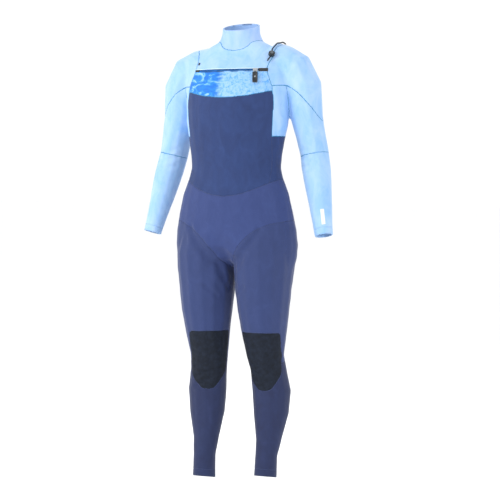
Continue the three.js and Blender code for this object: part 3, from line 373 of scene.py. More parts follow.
# %% Plugs for the open ends
# A mount on each hem's rim gives the plane where the cloth ends. The plug runs past it, and is cut off later.
PLUG_LENGTH = 0.022
PLUG_START = 0.012              # the plug is shaped by the points of the hem this near its rim
RIMS = {"neck_rim": "neck_collar"}
RIMS |= {f"{end}_rim_{side}": f"{end}_hem_{side}" for end in ("wrist", "ankle") for side in SIDES}
mounts = {mount["name"]: mount for mount in frame["record"]["mounts"]}
rims = {}


def plug(points, place, way):
    near = points[(place - points) @ way < PLUG_START]
    builder = bmesh.new()
    for point in np.vstack([near, near + PLUG_LENGTH * way]):
        builder.verts.new(point)
    bmesh.ops.convex_hull(builder, input=builder.verts)
    builder.verts.index_update()
    corners = np.array([v.co[:] for v in builder.verts])
    faces = [tuple(v.index for v in face.verts) for face in builder.faces]
    builder.free()
    return corners, faces


plugs = []
for rim, node in RIMS.items():
    place, way = np.array(mounts[rim]["pos_m"]), np.array(mounts[rim]["axis"])
    way = way / np.linalg.norm(way)
    points = solids[node][0]
    rims[node] = (place, way, points.mean(axis=0))
    plugs.append(plug(points, place, way))

# %% Remesh into one skin
VOXEL = 4.5 * MM


def gathered(meshes):
    vertices, faces, start = [], [], 0
    for points, mesh_faces in meshes:
        vertices.append(points)
        faces += [tuple(corner + start for corner in face) for face in mesh_faces]
        start += len(points)
    return np.vstack(vertices), faces


raw = new_object("raw_skin", *gathered(list(solids.values()) + plugs))
remesh = raw.modifiers.new("voxels", "REMESH")
remesh.mode, remesh.voxel_size, remesh.adaptivity = "VOXEL", VOXEL, 0
evaluated = raw.evaluated_get(bpy.context.evaluated_depsgraph_get())
skin_mesh = bpy.data.meshes.new_from_object(evaluated)
skin = coordinates(skin_mesh)
quads = np.array([tuple(face.vertices) for face in skin_mesh.polygons])
bpy.data.objects.remove(raw)
print("skin:", len(skin), "points,", len(quads), "faces")


# %% Keep the outside
# The remesh may also make the inner face of the wall. The outer shell is the piece of the mesh that reaches
# furthest.
def shell_labels(count, edges):
    label = np.arange(count)
    while True:
        low = np.minimum(label[edges[:, 0]], label[edges[:, 1]])
        fresh = label.copy()
        np.minimum.at(fresh, edges[:, 0], low)
        np.minimum.at(fresh, edges[:, 1], low)
        fresh = fresh[fresh]
        if (fresh == label).all():
            return label
        label = fresh


def edges_of(faces):
    pairs = np.vstack([faces[:, [a, (a + 1) % faces.shape[1]]] for a in range(faces.shape[1])])
    return np.unique(np.sort(pairs, axis=1), axis=0)


def used_only(points, faces):
    keep = np.unique(faces)
    new_place = np.full(len(points), -1)
    new_place[keep] = np.arange(len(keep))
    return points[keep], new_place[faces]


shells = shell_labels(len(skin), edges_of(quads))
outer = shells[np.argmin(skin[:, 2])]
print("shells:", len(np.unique(shells)), "kept share:", round(float((shells == outer).mean()), 3))
skin, quads = used_only(skin, quads[shells[quads[:, 0]] == outer])

# %% Smooth away the flats
# Each pass moves a point towards the mean of its neighbours, and the next pushes it back a little further, so
# that the flats go and the girth stays.
SMOOTH_PASSES = 55
SMOOTH_SHARES = (0.5, -0.53)
edges = edges_of(quads)
degree = np.bincount(edges.ravel(), minlength=len(skin)).astype(float)[:, None]


def neighbour_mean(values):
    total = np.zeros_like(values)
    for column in range(values.shape[1]):
        total[:, column] = (np.bincount(edges[:, 0], values[edges[:, 1], column], len(values))
                            + np.bincount(edges[:, 1], values[edges[:, 0], column], len(values)))
    return total / degree


for number in range(SMOOTH_PASSES):
    for share in SMOOTH_SHARES:
        skin = skin + share * (neighbour_mean(skin) - skin)


# %% [markdown]
# ## Creases
# Foam rubber bends in broad rolls, not sharp folds. Each crease below is a line on the body with a depth and a
# width: a soft groove between two low rolls.


# %% Normals and creases
def unit(vectors):
    return vectors / np.linalg.norm(vectors, axis=1, keepdims=True).clip(1e-12)


def normals_of(points, faces):
    across = np.cross(points[faces[:, 2]] - points[faces[:, 0]], points[faces[:, -1]] - points[faces[:, 1]])
    total = np.zeros_like(points)
    for corner in range(faces.shape[1]):
        for column in range(3):
            total[:, column] += np.bincount(faces[:, corner], across[:, column], len(points))
    return unit(total)


def distance_to_crease(points, line):
    """How far each point is from a line through several places."""
    nearest = np.full(len(points), 1e9)
    for start, end in zip(line, line[1:]):
        way = end - start
        share = (((points - start) @ way) / max(way @ way, 1e-12)).clip(0, 1)
        nearest = np.minimum(nearest, np.linalg.norm(points - (start + share[:, None] * way), axis=1))
    return nearest


# start, end, depth in mm, half width in mm; each end only has to be near the skin
def creases():
    found = []
    for side, knee_x, knee_y in ((1, 0.097, -0.04), (-1, -0.082, -0.06)):
        left = side == 1
        found += [((side * 0.010, -0.10, -0.665), (side * 0.120, -0.15, -0.510), 2.6 if left else 3.6, 9),
                  ((side * 0.006, -0.08, -0.700), (side * 0.075, -0.15, -0.590), 2.4 if left else 1.6, 8),
                  ((side * 0.030, -0.12, -0.720), (side * 0.060, -0.14, -0.690), 1.6, 7)]
        inner, outer = knee_x - side * 0.040, knee_x + side * 0.034
        front, back = knee_y - 0.06, knee_y + 0.06
        for level, depth, lean in ((-0.990, 2.2, 0.014), (-0.962, 2.6, 0.010), (-0.935, 1.6, 0.006),
                                   (-0.892, 1.2, 0.0)):
            found.append(((inner, front, level + lean), (outer, front, level - lean), depth, 7))
        for level in (-0.965, -0.932, -0.900):
            found.append(((knee_x - 0.028, back, level), (knee_x + 0.028, back, level + 0.012), 2.0, 8))
        for level in (-0.275, -0.300, -0.325):
            found.append(((side * 0.205, -0.03, level), (side * 0.255, -0.03, level - 0.012), 1.5, 7))
        found.append(((side * 0.150, -0.06, -0.10), (side * 0.160, -0.06, -0.17), 2.6, 9))
    return found


CREASE_STEPS = 9
ROLL_SHARE, ROLL_PLACE = 0.45, 1.9      # a roll's height and place, in the groove's depths and half widths
RIPPLE_HEIGHT = 0.9 * MM
BROAD_RIPPLE, FINE_RIPPLE = 13, 29      # ripples in a metre


def creased(points):
    normals = normals_of(points, quads)
    near = BVHTree.FromPolygons(points.tolist(), quads.tolist())
    lift = np.zeros(len(points))
    for start, end, depth, width in creases():
        line = [Vector(start).lerp(Vector(end), share) for share in np.linspace(0, 1, CREASE_STEPS)]
        on_skin = [np.array(near.find_nearest(spot)[0]) for spot in line]
        away = distance_to_crease(points, on_skin) / (width * MM)
        lift -= depth * MM * (np.exp(-away ** 2) - ROLL_SHARE * np.exp(-(away - ROLL_PLACE) ** 2))
    ripple = np.array([noise.noise(Vector(p) * BROAD_RIPPLE) + 0.5 * noise.noise(Vector(p) * FINE_RIPPLE)
                       for p in points])
    return points + normals * (lift + RIPPLE_HEIGHT * ripple)[:, None]


skin = creased(skin)
print("skin box:", skin.min(axis=0).round(3), skin.max(axis=0).round(3))

# %% [markdown]
# ## Cutting the skin into panels
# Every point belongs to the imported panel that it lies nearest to. Where a face crosses from one panel to the
# next it is split on the line that is as near to both, which is the seam.

# %% Nearest panel of each point
LABELS = PANELS + ["zip"]
LABEL_REACH = 0.03              # a panel further than this from a point isn't measured
trees = []
boxes = []
for points, faces in [solids[name] for name in PANELS] + [gathered([solids[name] for name in ZIP_PARTS])]:
    trees.append(BVHTree.FromPolygons([tuple(p) for p in points], faces))
    boxes.append((points.min(axis=0), points.max(axis=0)))


# The knee coat is pressed on over the panel seams, so it reaches past its panel at the sides and the top, and
# stops short of it at the foot.
COAT_PAST_SIDES = 12 * MM
COAT_SHORT_AT_FOOT = 14 * MM
FOOT_SHARE = 0.35
COATS = {LABELS.index(f"knee_pad_{side}") for side in SIDES}


def gap_to(label, point):
    gap = trees[label].find_nearest(Vector(point))[3]
    if label in COATS:
        low, high = boxes[label]
        share = min((point[2] - low[2]) / (high[2] - low[2]) / FOOT_SHARE, 1)
        gap -= share * COAT_PAST_SIDES - (1 - share) * COAT_SHORT_AT_FOOT
    return gap


def nearest_labels(points):
    best = np.full(len(points), 1e9)
    label = np.zeros(len(points), int)
    for number, (low, high) in enumerate(boxes):
        near = np.flatnonzero(((points > low - LABEL_REACH) & (points < high + LABEL_REACH)).all(axis=1))
        for at in near:
            gap = gap_to(number, points[at])
            if gap < best[at]:
                best[at], label[at] = gap, number
    return label


label = nearest_labels(skin)
triangles = np.vstack([quads[:, [0, 1, 2]], quads[:, [0, 2, 3]]])
print("points in each panel:", dict(zip(LABELS, np.bincount(label, minlength=len(LABELS)).tolist())))

# %% Split the faces that cross a seam
HALVINGS = 7
LEAST_SHARE = 0.08              # a cut keeps this share of the edge from each end
points = [tuple(p) for p in skin]
cut_points = {}
seam_pairs = {}


def cut_between(a, b):
    """The point on edge a-b that is as near to a's panel as to b's."""
    key = (min(a, b), max(a, b))
    if key not in cut_points:
        low, high = np.array(points[key[0]]), np.array(points[key[1]])
        first, second = label[key[0]], label[key[1]]
        from_share, to_share = 0.0, 1.0
        for halving in range(HALVINGS):
            middle = (from_share + to_share) / 2
            spot = low + middle * (high - low)
            if gap_to(first, spot) < gap_to(second, spot):
                from_share = middle
            else:
                to_share = middle
        share = min(max((from_share + to_share) / 2, LEAST_SHARE), 1 - LEAST_SHARE)
        cut_points[key] = len(points)
        points.append(tuple(low + share * (high - low)))
    return cut_points[key]


pieces = {number: [] for number in range(len(LABELS))}
for a, b, c in triangles.tolist():
    la, lb, lc = label[a], label[b], label[c]
    if la == lb == lc:
        pieces[la].append((a, b, c))
        continue
    if la != lb and lb != lc and la != lc:
        ab, bc, ca = cut_between(a, b), cut_between(b, c), cut_between(c, a)
        centre = len(points)
        points.append(tuple((np.array(points[ab]) + points[bc] + points[ca]) / 3))
        for corner, ahead, behind, own in ((a, ab, ca, la), (b, bc, ab, lb), (c, ca, bc, lc)):
            pieces[own] += [(corner, ahead, centre), (corner, centre, behind)]
        for spot, pair in ((ab, (la, lb)), (bc, (lb, lc)), (ca, (lc, la))):
            seam_pairs.setdefault((min(pair), max(pair)), set()).add((min(spot, centre), max(spot, centre)))
        continue
    while not (label[b] == label[c] != label[a]):
        a, b, c = b, c, a
    ab, ca = cut_between(a, b), cut_between(c, a)
    pieces[label[a]].append((a, ab, ca))
    pieces[label[b]] += [(ab, b, c), (ab, c, ca)]
    pair = (min(label[a], label[b]), max(label[a], label[b]))
    seam_pairs.setdefault(pair, set()).add((min(ab, ca), max(ab, ca)))
points = np.array(points)
print("seams:", len(seam_pairs), "seam points:", len(cut_points))

# %% Tidy seams
# The line between two panels still steps from face to face. Each seam point moves towards its neighbours along
# the seam, which both panels share, so they stay joined.
SEAM_PASSES = 14


def smooth_seams():
    links = {}
    for pairs in seam_pairs.values():
        for first, second in pairs:
            links.setdefault(first, set()).add(second)
            links.setdefault(second, set()).add(first)
    inner = [(at, list(ends)) for at, ends in links.items() if len(ends) == 2]
    at = np.array([spot for spot, _ in inner])
    ends = np.array([pair for _, pair in inner])
    for number in range(SEAM_PASSES):
        points[at] += 0.5 * (points[ends].mean(axis=1) - points[at])


smooth_seams()
every_face = np.array([face for faces in pieces.values() for face in faces])
normals = normals_of(points, every_face)

# %% Panels with a wall
# Each panel gets its real wall, 3.5 mm of foam rubber with cloth on both faces: the outer face, the same face
# moved in, and a strip that joins their edges.
WALL = 3.5 * MM
SEAM_DIP = 0.7 * MM
RIM_REACH = 0.75 * VOXEL        # a hem's points this near its plane are moved on to it


def walled(name, faces, material):
    faces = np.array(faces)
    used, inverse = np.unique(faces, return_inverse=True)
    faces = inverse.reshape(faces.shape)
    outside = points[used].copy()
    ways = normals[used]
    pairs = faces[:, [0, 1]], faces[:, [1, 2]], faces[:, [2, 0]]
    directed = {tuple(edge) for group in pairs for edge in group.tolist()}
    rim = [(a, b) for a, b in directed if (b, a) not in directed]
    on_rim = np.unique(np.array(rim)) if rim else np.array([], int)
    outside[on_rim] -= SEAM_DIP * ways[on_rim]
    inside = outside - WALL * ways
    count = len(used)
    strip = [(b, a, a + count, b + count) for a, b in rim]
    every = [tuple(face) for face in faces.tolist()]
    every += [tuple(corner + count for corner in reversed(face)) for face in faces.tolist()]
    return new_object(name, np.vstack([outside, inside]), every + strip, material)


def trimmed(name, faces):
    """A hem's faces past its plane, on the plug, are left out, and its last points move on to the plane."""
    faces = np.array(faces)
    if name in rims:
        place, way, _ = rims[name]
        faces = faces[(points[faces].mean(axis=1) - place) @ way < 0]
        own = np.unique(faces)
        past = (points[own] - place) @ way
        last = own[past > -RIM_REACH]
        points[last] -= ((points[last] - place) @ way)[:, None] * way
    return faces


FINISH = {"neck_collar": COLLAR, "entry_flap": SKY, "chest_panel": PRINT, "front_body_panel": NAVY,
          "hip_front_panel": HIP_NAVY, "upper_back_panel": SKY, "back_body_panel": NAVY, "seat_panel": HIP_NAVY,
          "shoulder_panel": SKY, "side_panel": SKY, "waist_side_panel": NAVY, "upper_sleeve": SKY,
          "forearm_sleeve": SKY, "wrist_hem": SKY, "thigh_panel": THIGH_NAVY, "knee_pad": KNEE,
          "calf_panel": SHADED_NAVY_LOWER_LEG, "ankle_hem": SHADED_NAVY_LOWER_LEG}
cloth = {}
kept_faces = {name: trimmed(name, pieces[number]) for number, name in enumerate(PANELS)}
for name in PANELS:
    family = name.replace("_left", "").replace("_right", "")
    cloth[name] = walled(f"cloth_{name}", kept_faces[name], FINISH[family])
print("panels made:", len(cloth), "faces:", sum(len(o.data.polygons) for o in cloth.values()))

# %% [markdown]
# ## Which body each panel rides on
# Most panels are attached to the body they ride on. For each elbow and knee a bend is worked out: its two
# bodies and two end points, spread over a length of sleeve or leg. The panels and seams there, and the entry
# flap, are left in place and not attached to a body.

# %% Bends
joints = {joint["name"]: joint for joint in frame["joints"]}
body_of_node = {node: body for body, nodes in frame["record"]["behaviour"]["bodies"].items() for node in nodes}
ELBOW_BEND_LENGTH = 0.13
KNEE_BEND_LENGTH = 0.19


def bend_of(joint, toward, length):
    middle = Vector(joints[joint]["pos_m"])
    way = (toward - middle).normalized()
    return joints[joint]["parent"], joints[joint]["child"], middle - way * length / 2, middle + way * length / 2


bends = {}
for side in SIDES:
    wrist = Vector(rims[f"wrist_hem_{side}"][2])
    ankle = Vector(rims[f"ankle_hem_{side}"][2])
    bends[f"arm_{side}"] = bend_of(f"elbow_{side}", wrist, ELBOW_BEND_LENGTH)
    bends[f"leg_{side}"] = bend_of(f"knee_{side}", ankle, KNEE_BEND_LENGTH)

BENDING = {"upper_sleeve": "arm", "forearm_sleeve": "arm",
           "thigh_panel": "leg", "knee_pad": "leg", "calf_panel": "leg"}


def settle(piece, owner):
    """owner is a body's name, or the name of a bend."""
    if owner in bends:
        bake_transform(piece)
    elif owner == "flap_edge":
        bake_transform(piece)
    else:
        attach(piece, owner)


def owner_of(node):
    family, _, side = node.rpartition("_")
    if family in BENDING:
        return f"{BENDING[family]}_{side}"
    return "flap_edge" if node == "entry_flap" else body_of_node[node]


for name, piece in cloth.items():
    settle(piece, owner_of(name))
    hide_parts(name)

# %% [markdown]
# ## Seams and stitches
# The panels are glued edge to edge, sewn with a blind stitch, and painted over with a narrow rubber bead.
# The beads are swept along the cut lines. The stitches repeat along the same lines, which is a job for Geometry
# Nodes: one small tree sets a bead every few millimetres and turns it to lie on the skin.


# %% Lines along the cuts
def chains(pairs):
    """Joins edges into lines of points."""
    links = {}
    for first, second in pairs:
        links.setdefault(first, []).append(second)
        links.setdefault(second, []).append(first)
    used, lines = set(), []
    starts = [at for at in sorted(links) if len(links[at]) != 2] + sorted(links)
    for start in starts:
        for ahead in links[start]:
            if (min(start, ahead), max(start, ahead)) in used:
                continue
            line = [start]
            while True:
                used.add((min(line[-1], ahead), max(line[-1], ahead)))
                line.append(ahead)
                onwards = [at for at in links[ahead] if (min(ahead, at), max(ahead, at)) not in used]
                if len(links[ahead]) != 2 or not onwards:
                    break
                ahead = onwards[0]
            lines.append(line)
    return [line for line in lines if len(line) > 2]


LIGHT = ("neck_collar", "entry_flap", "chest_panel", "shoulder_panel", "side_panel", "upper_sleeve",
         "forearm_sleeve", "wrist_hem", "upper_back_panel")


def seam_owner(first, second):
    owners = {owner_of(first), owner_of(second)}
    if len(owners) == 1:
        return owners.pop()
    if "flap_edge" in owners:
        return "flap" if "flap" in owners else "flap_edge"
    return next(owner for owner in sorted(owners) if owner not in bends)


seam_lines = {}
for (first, second), pairs in sorted(seam_pairs.items()):
    if LABELS[second] == "zip" or not pairs:
        continue
    names = PANELS[first], PANELS[second]
    light = any(name.startswith(LIGHT) for name in names)
    quiet = any(name.startswith("wrist_hem") for name in names)
    key = (seam_owner(*names), "pale" if quiet else "teal" if light else "navy")
    seam_lines.setdefault(key, []).extend(np.array(line) for line in chains(pairs))
print("seam groups:", len(seam_lines))

# %% Painted beads
# width and height in mm, the paint, the thread, the slot
BEAD_STYLE = {"teal": (4.6, 0.55, TEAL_SEAM, BLUE_THREAD, "light_jersey"),
              "navy": (3.0, 0.35, NAVY_SEAM, NAVY_THREAD, "navy_jersey"),
              "pale": (3.4, 0.35, PALE_SEAM, PALE_SEAM, "light_jersey")}
BEAD_PROFILE = ((-0.5, -1.2), (-0.42, 0.3), (-0.2, 0.85), (0.0, 1.0), (0.2, 0.85), (0.42, 0.3), (0.5, -1.2))


def faces_between(rings, around, closed=False):
    """Faces from each ring of points to the next; the ends meet if it is closed, and are capped if not."""
    faces = []
    for ring in range(rings if closed else rings - 1):
        here, ahead = ring * around, (ring + 1) % rings * around
        for at in range(around):
            beside = (at + 1) % around
            faces.append((here + at, here + beside, ahead + beside, ahead + at))
    if not closed:
        last = (rings - 1) * around
        faces += [tuple(range(around)), tuple(last + at for at in reversed(range(around)))]
    return faces


def swept(path, ways, width, height, profile=BEAD_PROFILE):
    """A closed strip with that profile along a path, with the height along the surface's normal."""
    across = unit(np.cross(unit(np.gradient(path, axis=0)), ways))
    lines = [path + width * MM * x * across + height * MM * up * ways for x, up in profile]
    return np.stack(lines, axis=1).reshape(-1, 3), faces_between(len(path), len(profile))


for (owner, style), lines in seam_lines.items():
    width, height, material, _, slot_name = BEAD_STYLE[style]
    strips = [swept(points[line] - SEAM_DIP * normals[line], normals[line], width, height) for line in lines]
    bead = facing_out(new_object(f"seam_{style}_{owner}", *gathered(strips), material))
    settle(bead, owner)


# %% A tree that sets beads along a line
def bead_tree():
    tree = bpy.data.node_groups.new("beads_along_a_line", "GeometryNodeTree")
    tree.interface.new_socket("Geometry", in_out="INPUT", socket_type="NodeSocketGeometry")
    for name in ("Spacing", "Length", "Width", "Height", "Slant"):
        tree.interface.new_socket(name, in_out="INPUT", socket_type="NodeSocketFloat").default_value = 0.001
    tree.interface.new_socket("Finish", in_out="INPUT", socket_type="NodeSocketMaterial")
    tree.interface.new_socket("Geometry", in_out="OUTPUT", socket_type="NodeSocketGeometry")
    given = tree.nodes.new("NodeGroupInput").outputs
    curve = add(tree, "GeometryNodeMeshToCurve", {"Mesh": given["Geometry"]})
    spots = add(tree, "GeometryNodeCurveToPoints", {"Curve": curve.outputs[0], "Length": given["Spacing"]},
                mode="LENGTH")
    out = add(tree, "GeometryNodeInputNamedAttribute", {"Name": "out"}, data_type="FLOAT_VECTOR")
    upright = add(tree, "FunctionNodeAlignRotationToVector", {"Vector": out.outputs["Attribute"]}, axis="Z")
    along = add(tree, "FunctionNodeAlignRotationToVector", {"Rotation": upright.outputs[0],
                "Vector": spots.outputs["Tangent"]}, axis="X", pivot_axis="Z")
    index = tree.nodes.new("GeometryNodeInputIndex")
    odd = add(tree, "ShaderNodeMath", {0: index.outputs[0], 1: 2.0}, operation="MODULO")
    swing = add(tree, "ShaderNodeMath", {0: odd.outputs[0], 1: 2.0, 2: -1.0}, operation="MULTIPLY_ADD")
    slant = add(tree, "ShaderNodeMath", {0: swing.outputs[0], 1: given["Slant"]}, operation="MULTIPLY")
    turn = add(tree, "ShaderNodeCombineXYZ", {"Z": slant.outputs[0]})
    euler = add(tree, "FunctionNodeEulerToRotation", {0: turn.outputs[0]})
    turned = add(tree, "FunctionNodeRotateRotation", {"Rotation": along.outputs[0],
                 "Rotate By": euler.outputs[0]}, rotation_space="LOCAL")
    size = add(tree, "ShaderNodeCombineXYZ", {"X": given["Length"], "Y": given["Width"], "Z": given["Height"]})
    ball = add(tree, "GeometryNodeMeshUVSphere", {"Segments": 6, "Rings": 4, "Radius": 0.5})
    set_down = add(tree, "GeometryNodeInstanceOnPoints", {"Points": spots.outputs["Points"],
                   "Instance": ball.outputs["Mesh"], "Rotation": turned.outputs[0], "Scale": size.outputs[0]})
    real = add(tree, "GeometryNodeRealizeInstances", {"Geometry": set_down.outputs[0]})
    finish = add(tree, "GeometryNodeSetMaterial", {"Geometry": real.outputs[0], "Material": given["Finish"]})
    add(tree, "NodeGroupOutput", {"Geometry": finish.outputs[0]})
    return tree


BEADS = bead_tree()
SOCKETS = {item.name: item.identifier for item in BEADS.interface.items_tree if item.in_out == "INPUT"}


def beads_along(name, lines, finish, **sizes_mm):
    """lines holds (points, outward directions); the beads become one plain mesh."""
    vertices = np.vstack([line for line, _ in lines])
    outs = np.vstack([ways for _, ways in lines])
    starts = np.cumsum([0] + [len(line) for line, _ in lines])
    mesh = bpy.data.meshes.new(name)
    mesh.from_pydata([tuple(v) for v in vertices], [(at, at + 1) for number in range(len(lines))
                     for at in range(starts[number], starts[number + 1] - 1)], [])
    out = mesh.attributes.new("out", "FLOAT_VECTOR", "POINT")
    out.data.foreach_set("vector", outs.astype(np.float32).ravel())
    guide = shown(bpy.data.objects.new(name + "_guide", mesh))
    modifier = guide.modifiers.new("beads", "NODES")
    modifier.node_group = BEADS
    modifier[SOCKETS["Finish"]] = finish
    for key, value in sizes_mm.items():
        modifier[SOCKETS[key]] = float(value) if key == "Slant" else float(value * MM)
    guide.update_tag()
    evaluated = guide.evaluated_get(bpy.context.evaluated_depsgraph_get())
    result = bpy.data.meshes.new_from_object(evaluated)
    bpy.data.objects.remove(guide)
    result.polygons.foreach_set("use_smooth", [True] * len(result.polygons))
    if not result.materials:
        result.materials.append(finish)
    return shown(bpy.data.objects.new(name, result))


# %% Stitches
# A blind stitch slants to and fro across the bead, one every 4.5 mm.
for (owner, style), lines in seam_lines.items():
    _, height, _, thread, slot_name = BEAD_STYLE[style]
    on_bead = [(points[line] + (height * MM - SEAM_DIP) * normals[line], normals[line]) for line in lines]
    stitches = beads_along(f"stitches_{style}_{owner}", on_bead, thread, Spacing=4.5, Length=3.6, Width=0.8,
                           Height=0.6, Slant=0.5)
    settle(stitches, owner)
    print(stitches.name, len(stitches.data.polygons))

# %% [markdown]
# ## Zip
# The zip is moulded plastic: two rows of small blue teeth on a woven tape, set in a curve round the chest. The
# packed rows give its circle, and the same tree as for the stitches sets the teeth.

# %% Zip teeth
zip_axis = Vector(joints["zip_slide"]["pos_m"])
tooth_low, tooth_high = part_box("zip_teeth_upper")
zip_radius = zip_axis.y - tooth_low[1]
zip_reach = math.asin(tooth_high[0] / zip_radius)


def zip_line(outwards_mm, up_mm, from_share=-1.0, steps=60):
    """Points on the zip's circle, and the way out from each."""
    angles = np.linspace(from_share * zip_reach, zip_reach, steps)
    ways = np.stack([np.sin(angles), -np.cos(angles), np.zeros(steps)], axis=1)
    radius = zip_radius + outwards_mm * MM
    line = radius * ways + np.array([0, zip_axis.y, zip_axis.z + up_mm * MM])
    return line, ways


# The rows stand this far out and apart, in mm, and the lower one starts a little later, so that they mesh.
TEETH_OUT, TEETH_UP, TEETH_SPACING = 0.2, 0.75, 2.6
later = TEETH_SPACING / 2 / (2 * zip_radius * zip_reach / MM)
for name, up, start in (("upper", TEETH_UP, -1.0), ("lower", -TEETH_UP, -1.0 + later)):
    teeth = beads_along(f"zip_teeth_{name}_row", [zip_line(TEETH_OUT, up, start)], TEETH,
                        Spacing=TEETH_SPACING, Length=1.5, Width=2.3, Height=2.0, Slant=0.0)
    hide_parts(f"zip_teeth_{name}")
    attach(teeth, body_of_node[f"zip_teeth_{name}"])

# The cut edges over and under the zip are turned in as rolls. The upper roll, on the flap, is coloured near
# white as a painted highlight along the flap's edge, and the lower roll is taped.
PAINTED_HIGHLIGHT_ROLL = jersey("nylon_jersey_turned_edge", [(0.4, "#bfe2fb"), (0.7, "#d3edfd")], 40)
EDGE_OUT, EDGE_UP, EDGE_WIDTH, EDGE_HEIGHT = 1.4, 4.6, 2.6, 1.5
ROLL_PROFILE = ((-0.5, -0.6), (-0.5, 0.2), (-0.25, 0.8), (0.0, 1.0), (0.25, 0.8), (0.5, 0.2), (0.5, -0.6))
for name, up, body, finish in (("upper", EDGE_UP, "flap", PAINTED_HIGHLIGHT_ROLL), ("lower", -EDGE_UP, "torso", TAPE)):
    roll = swept(*zip_line(EDGE_OUT, up), EDGE_WIDTH, EDGE_HEIGHT, ROLL_PROFILE)
    roll = facing_out(new_object(f"zip_edge_{name}", *roll, finish))
    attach(roll, body)

# The woven tape carries the teeth: a narrow strip behind each row, flat on the skin side.
TAPE_OUT, TAPE_UP, TAPE_WIDTH, TAPE_THICKNESS = -2.3, 3.05, 1.3, 1.4
TAPE_PROFILE = ((-0.5, -0.5), (-0.5, 0.35), (-0.4, 0.5), (0.4, 0.5), (0.5, 0.35), (0.5, -0.5))
for name, up in (("upper", TAPE_UP), ("lower", -TAPE_UP)):
    strip = swept(*zip_line(TAPE_OUT, up), TAPE_WIDTH, TAPE_THICKNESS, TAPE_PROFILE)
    strip = facing_out(new_object(f"woven_tape_{name}", *strip, TAPE))
    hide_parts(f"zip_tape_{name}")
    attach(strip, body_of_node[f"zip_tape_{name}"])

# %% [markdown]
# ## Storm flap
# A thin sheet of lined rubber is sewn in behind the zip, so that water which gets through runs down its face.
# Rays from the front find the chest, and the sheet lies parallel to it, a little way in.

# %% Storm flap
STORM_GAP = 6.8 * MM
STORM_THICKNESS = 1.5 * MM
STORM_RIPPLE = 0.5 * MM
storm_low, storm_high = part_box("storm_flap")
skin_tree = BVHTree.FromPolygons(points.tolist(), every_face.tolist())


def storm_sheet(columns=49, rows=17):
    front, back = [], []
    for z in np.linspace(storm_low[2], storm_high[2], rows):
        for x in np.linspace(storm_low[0], storm_high[0], columns):
            spot, way, _, _ = skin_tree.ray_cast(Vector((x, -1, z)), Vector((0, 1, 0)))
            depth = STORM_GAP + STORM_RIPPLE * math.sin(x / (14 * MM)) * math.cos(z / (19 * MM))
            front.append(spot - depth * way)
            back.append(spot - (depth + STORM_THICKNESS) * way)
    count, faces = columns * rows, []
    for row in range(rows - 1):
        for column in range(columns - 1):
            a = row * columns + column
            b, c, d = a + 1, a + columns + 1, a + columns
            faces += [(a, b, c, d), (a + count, d + count, c + count, b + count)]
    rim = list(range(columns)) + [row * columns + columns - 1 for row in range(1, rows)]
    rim += list(range(count - 2, count - columns - 1, -1)) + [row * columns for row in range(rows - 2, 0, -1)]
    faces += [(a, a + count, b + count, b) for a, b in zip(rim, rim[1:] + rim[:1])]
    return front + back, faces


storm_flap = facing_out(new_object("storm_flap_sheet", *storm_sheet(), LINING))
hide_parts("storm_flap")
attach(storm_flap, "torso")

# %% [markdown]
# ## Drawcord
# The cord is braided elastic, 4 mm thick, laid along the edge of the flap over the left shoulder. It is sewn in
# at both ends, so its whole length is what is seen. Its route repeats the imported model's.

# %% Drawcord
CORD_DIAMETER = 4 * MM
CORD_ROUTE = np.array([
    (0.1134, -0.0708, -0.011), (0.1148, -0.0658, -0.0057), (0.117, -0.0605, -0.0007), (0.1184, -0.0549, 0.004),
    (0.1189, -0.0512, 0.0104), (0.1191, -0.0491, 0.0177), (0.1195, -0.0466, 0.0248), (0.1212, -0.0416, 0.0299),
    (0.1233, -0.0363, 0.0348), (0.1256, -0.031, 0.0396), (0.1279, -0.0251, 0.0437), (0.131, -0.0184, 0.0446),
    (0.1337, -0.0115, 0.0457), (0.1356, -0.0044, 0.0474), (0.1366, 0.003, 0.0476), (0.1374, 0.0102, 0.0459),
    (0.1385, 0.0173, 0.0437),
])


def through(route, steps=6):
    """A smooth line through the route's points."""
    padded = np.vstack([2 * route[0] - route[1], route, 2 * route[-1] - route[-2]])
    line = []
    for at in range(1, len(padded) - 2):
        a, b, c, d = padded[at - 1:at + 3]
        for t in np.linspace(0, 1, steps, endpoint=False):
            line.append(0.5 * (2 * b + (c - a) * t + (2 * a - 5 * b + 4 * c - d) * t ** 2
                               + (3 * b - a - 3 * c + d) * t ** 3))
    return np.array(line + [route[-1]])


def tube(line, radius, sides=12):
    """A round tube with closed ends."""
    ahead = unit(np.gradient(line, axis=0))
    side_way = unit(np.cross(ahead, (0.0, 0.0, 1.0)))
    up_way = np.cross(side_way, ahead)
    turns = 2 * math.pi * np.arange(sides) / sides
    lines = [line + radius * (math.cos(turn) * side_way + math.sin(turn) * up_way) for turn in turns]
    return np.stack(lines, axis=1).reshape(-1, 3), faces_between(len(line), sides)


cord_line = through(CORD_ROUTE)
drawcord = facing_out(new_object("drawcord", *tube(cord_line, CORD_DIAMETER / 2), CORD))
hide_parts("flap_drawcord")
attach(drawcord, "flap")

# %% [markdown]
# ## Pull tab
# The pull is moulded rubber over the metal link: a plate with round corners, a raised rim, three grip ribs and
# a metal eyelet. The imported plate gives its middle, its three directions and its size.


# %% Pull tab
def lie_of(node):
    """A packed plate's middle, its long, wide and thin directions, and its half sizes along them."""
    corners, _ = mesh_of(node)
    _, _, ways = np.linalg.svd(corners - corners.mean(axis=0), full_matrices=False)
    spans = [(corners @ way).min() for way in ways], [(corners @ way).max() for way in ways]
    halves = (np.array(spans[1]) - spans[0]) / 2
    middle = sum(way * (low + high) / 2 for way, low, high in zip(ways, *spans))
    order = np.argsort(-halves)
    return middle, ways[order], halves[order]


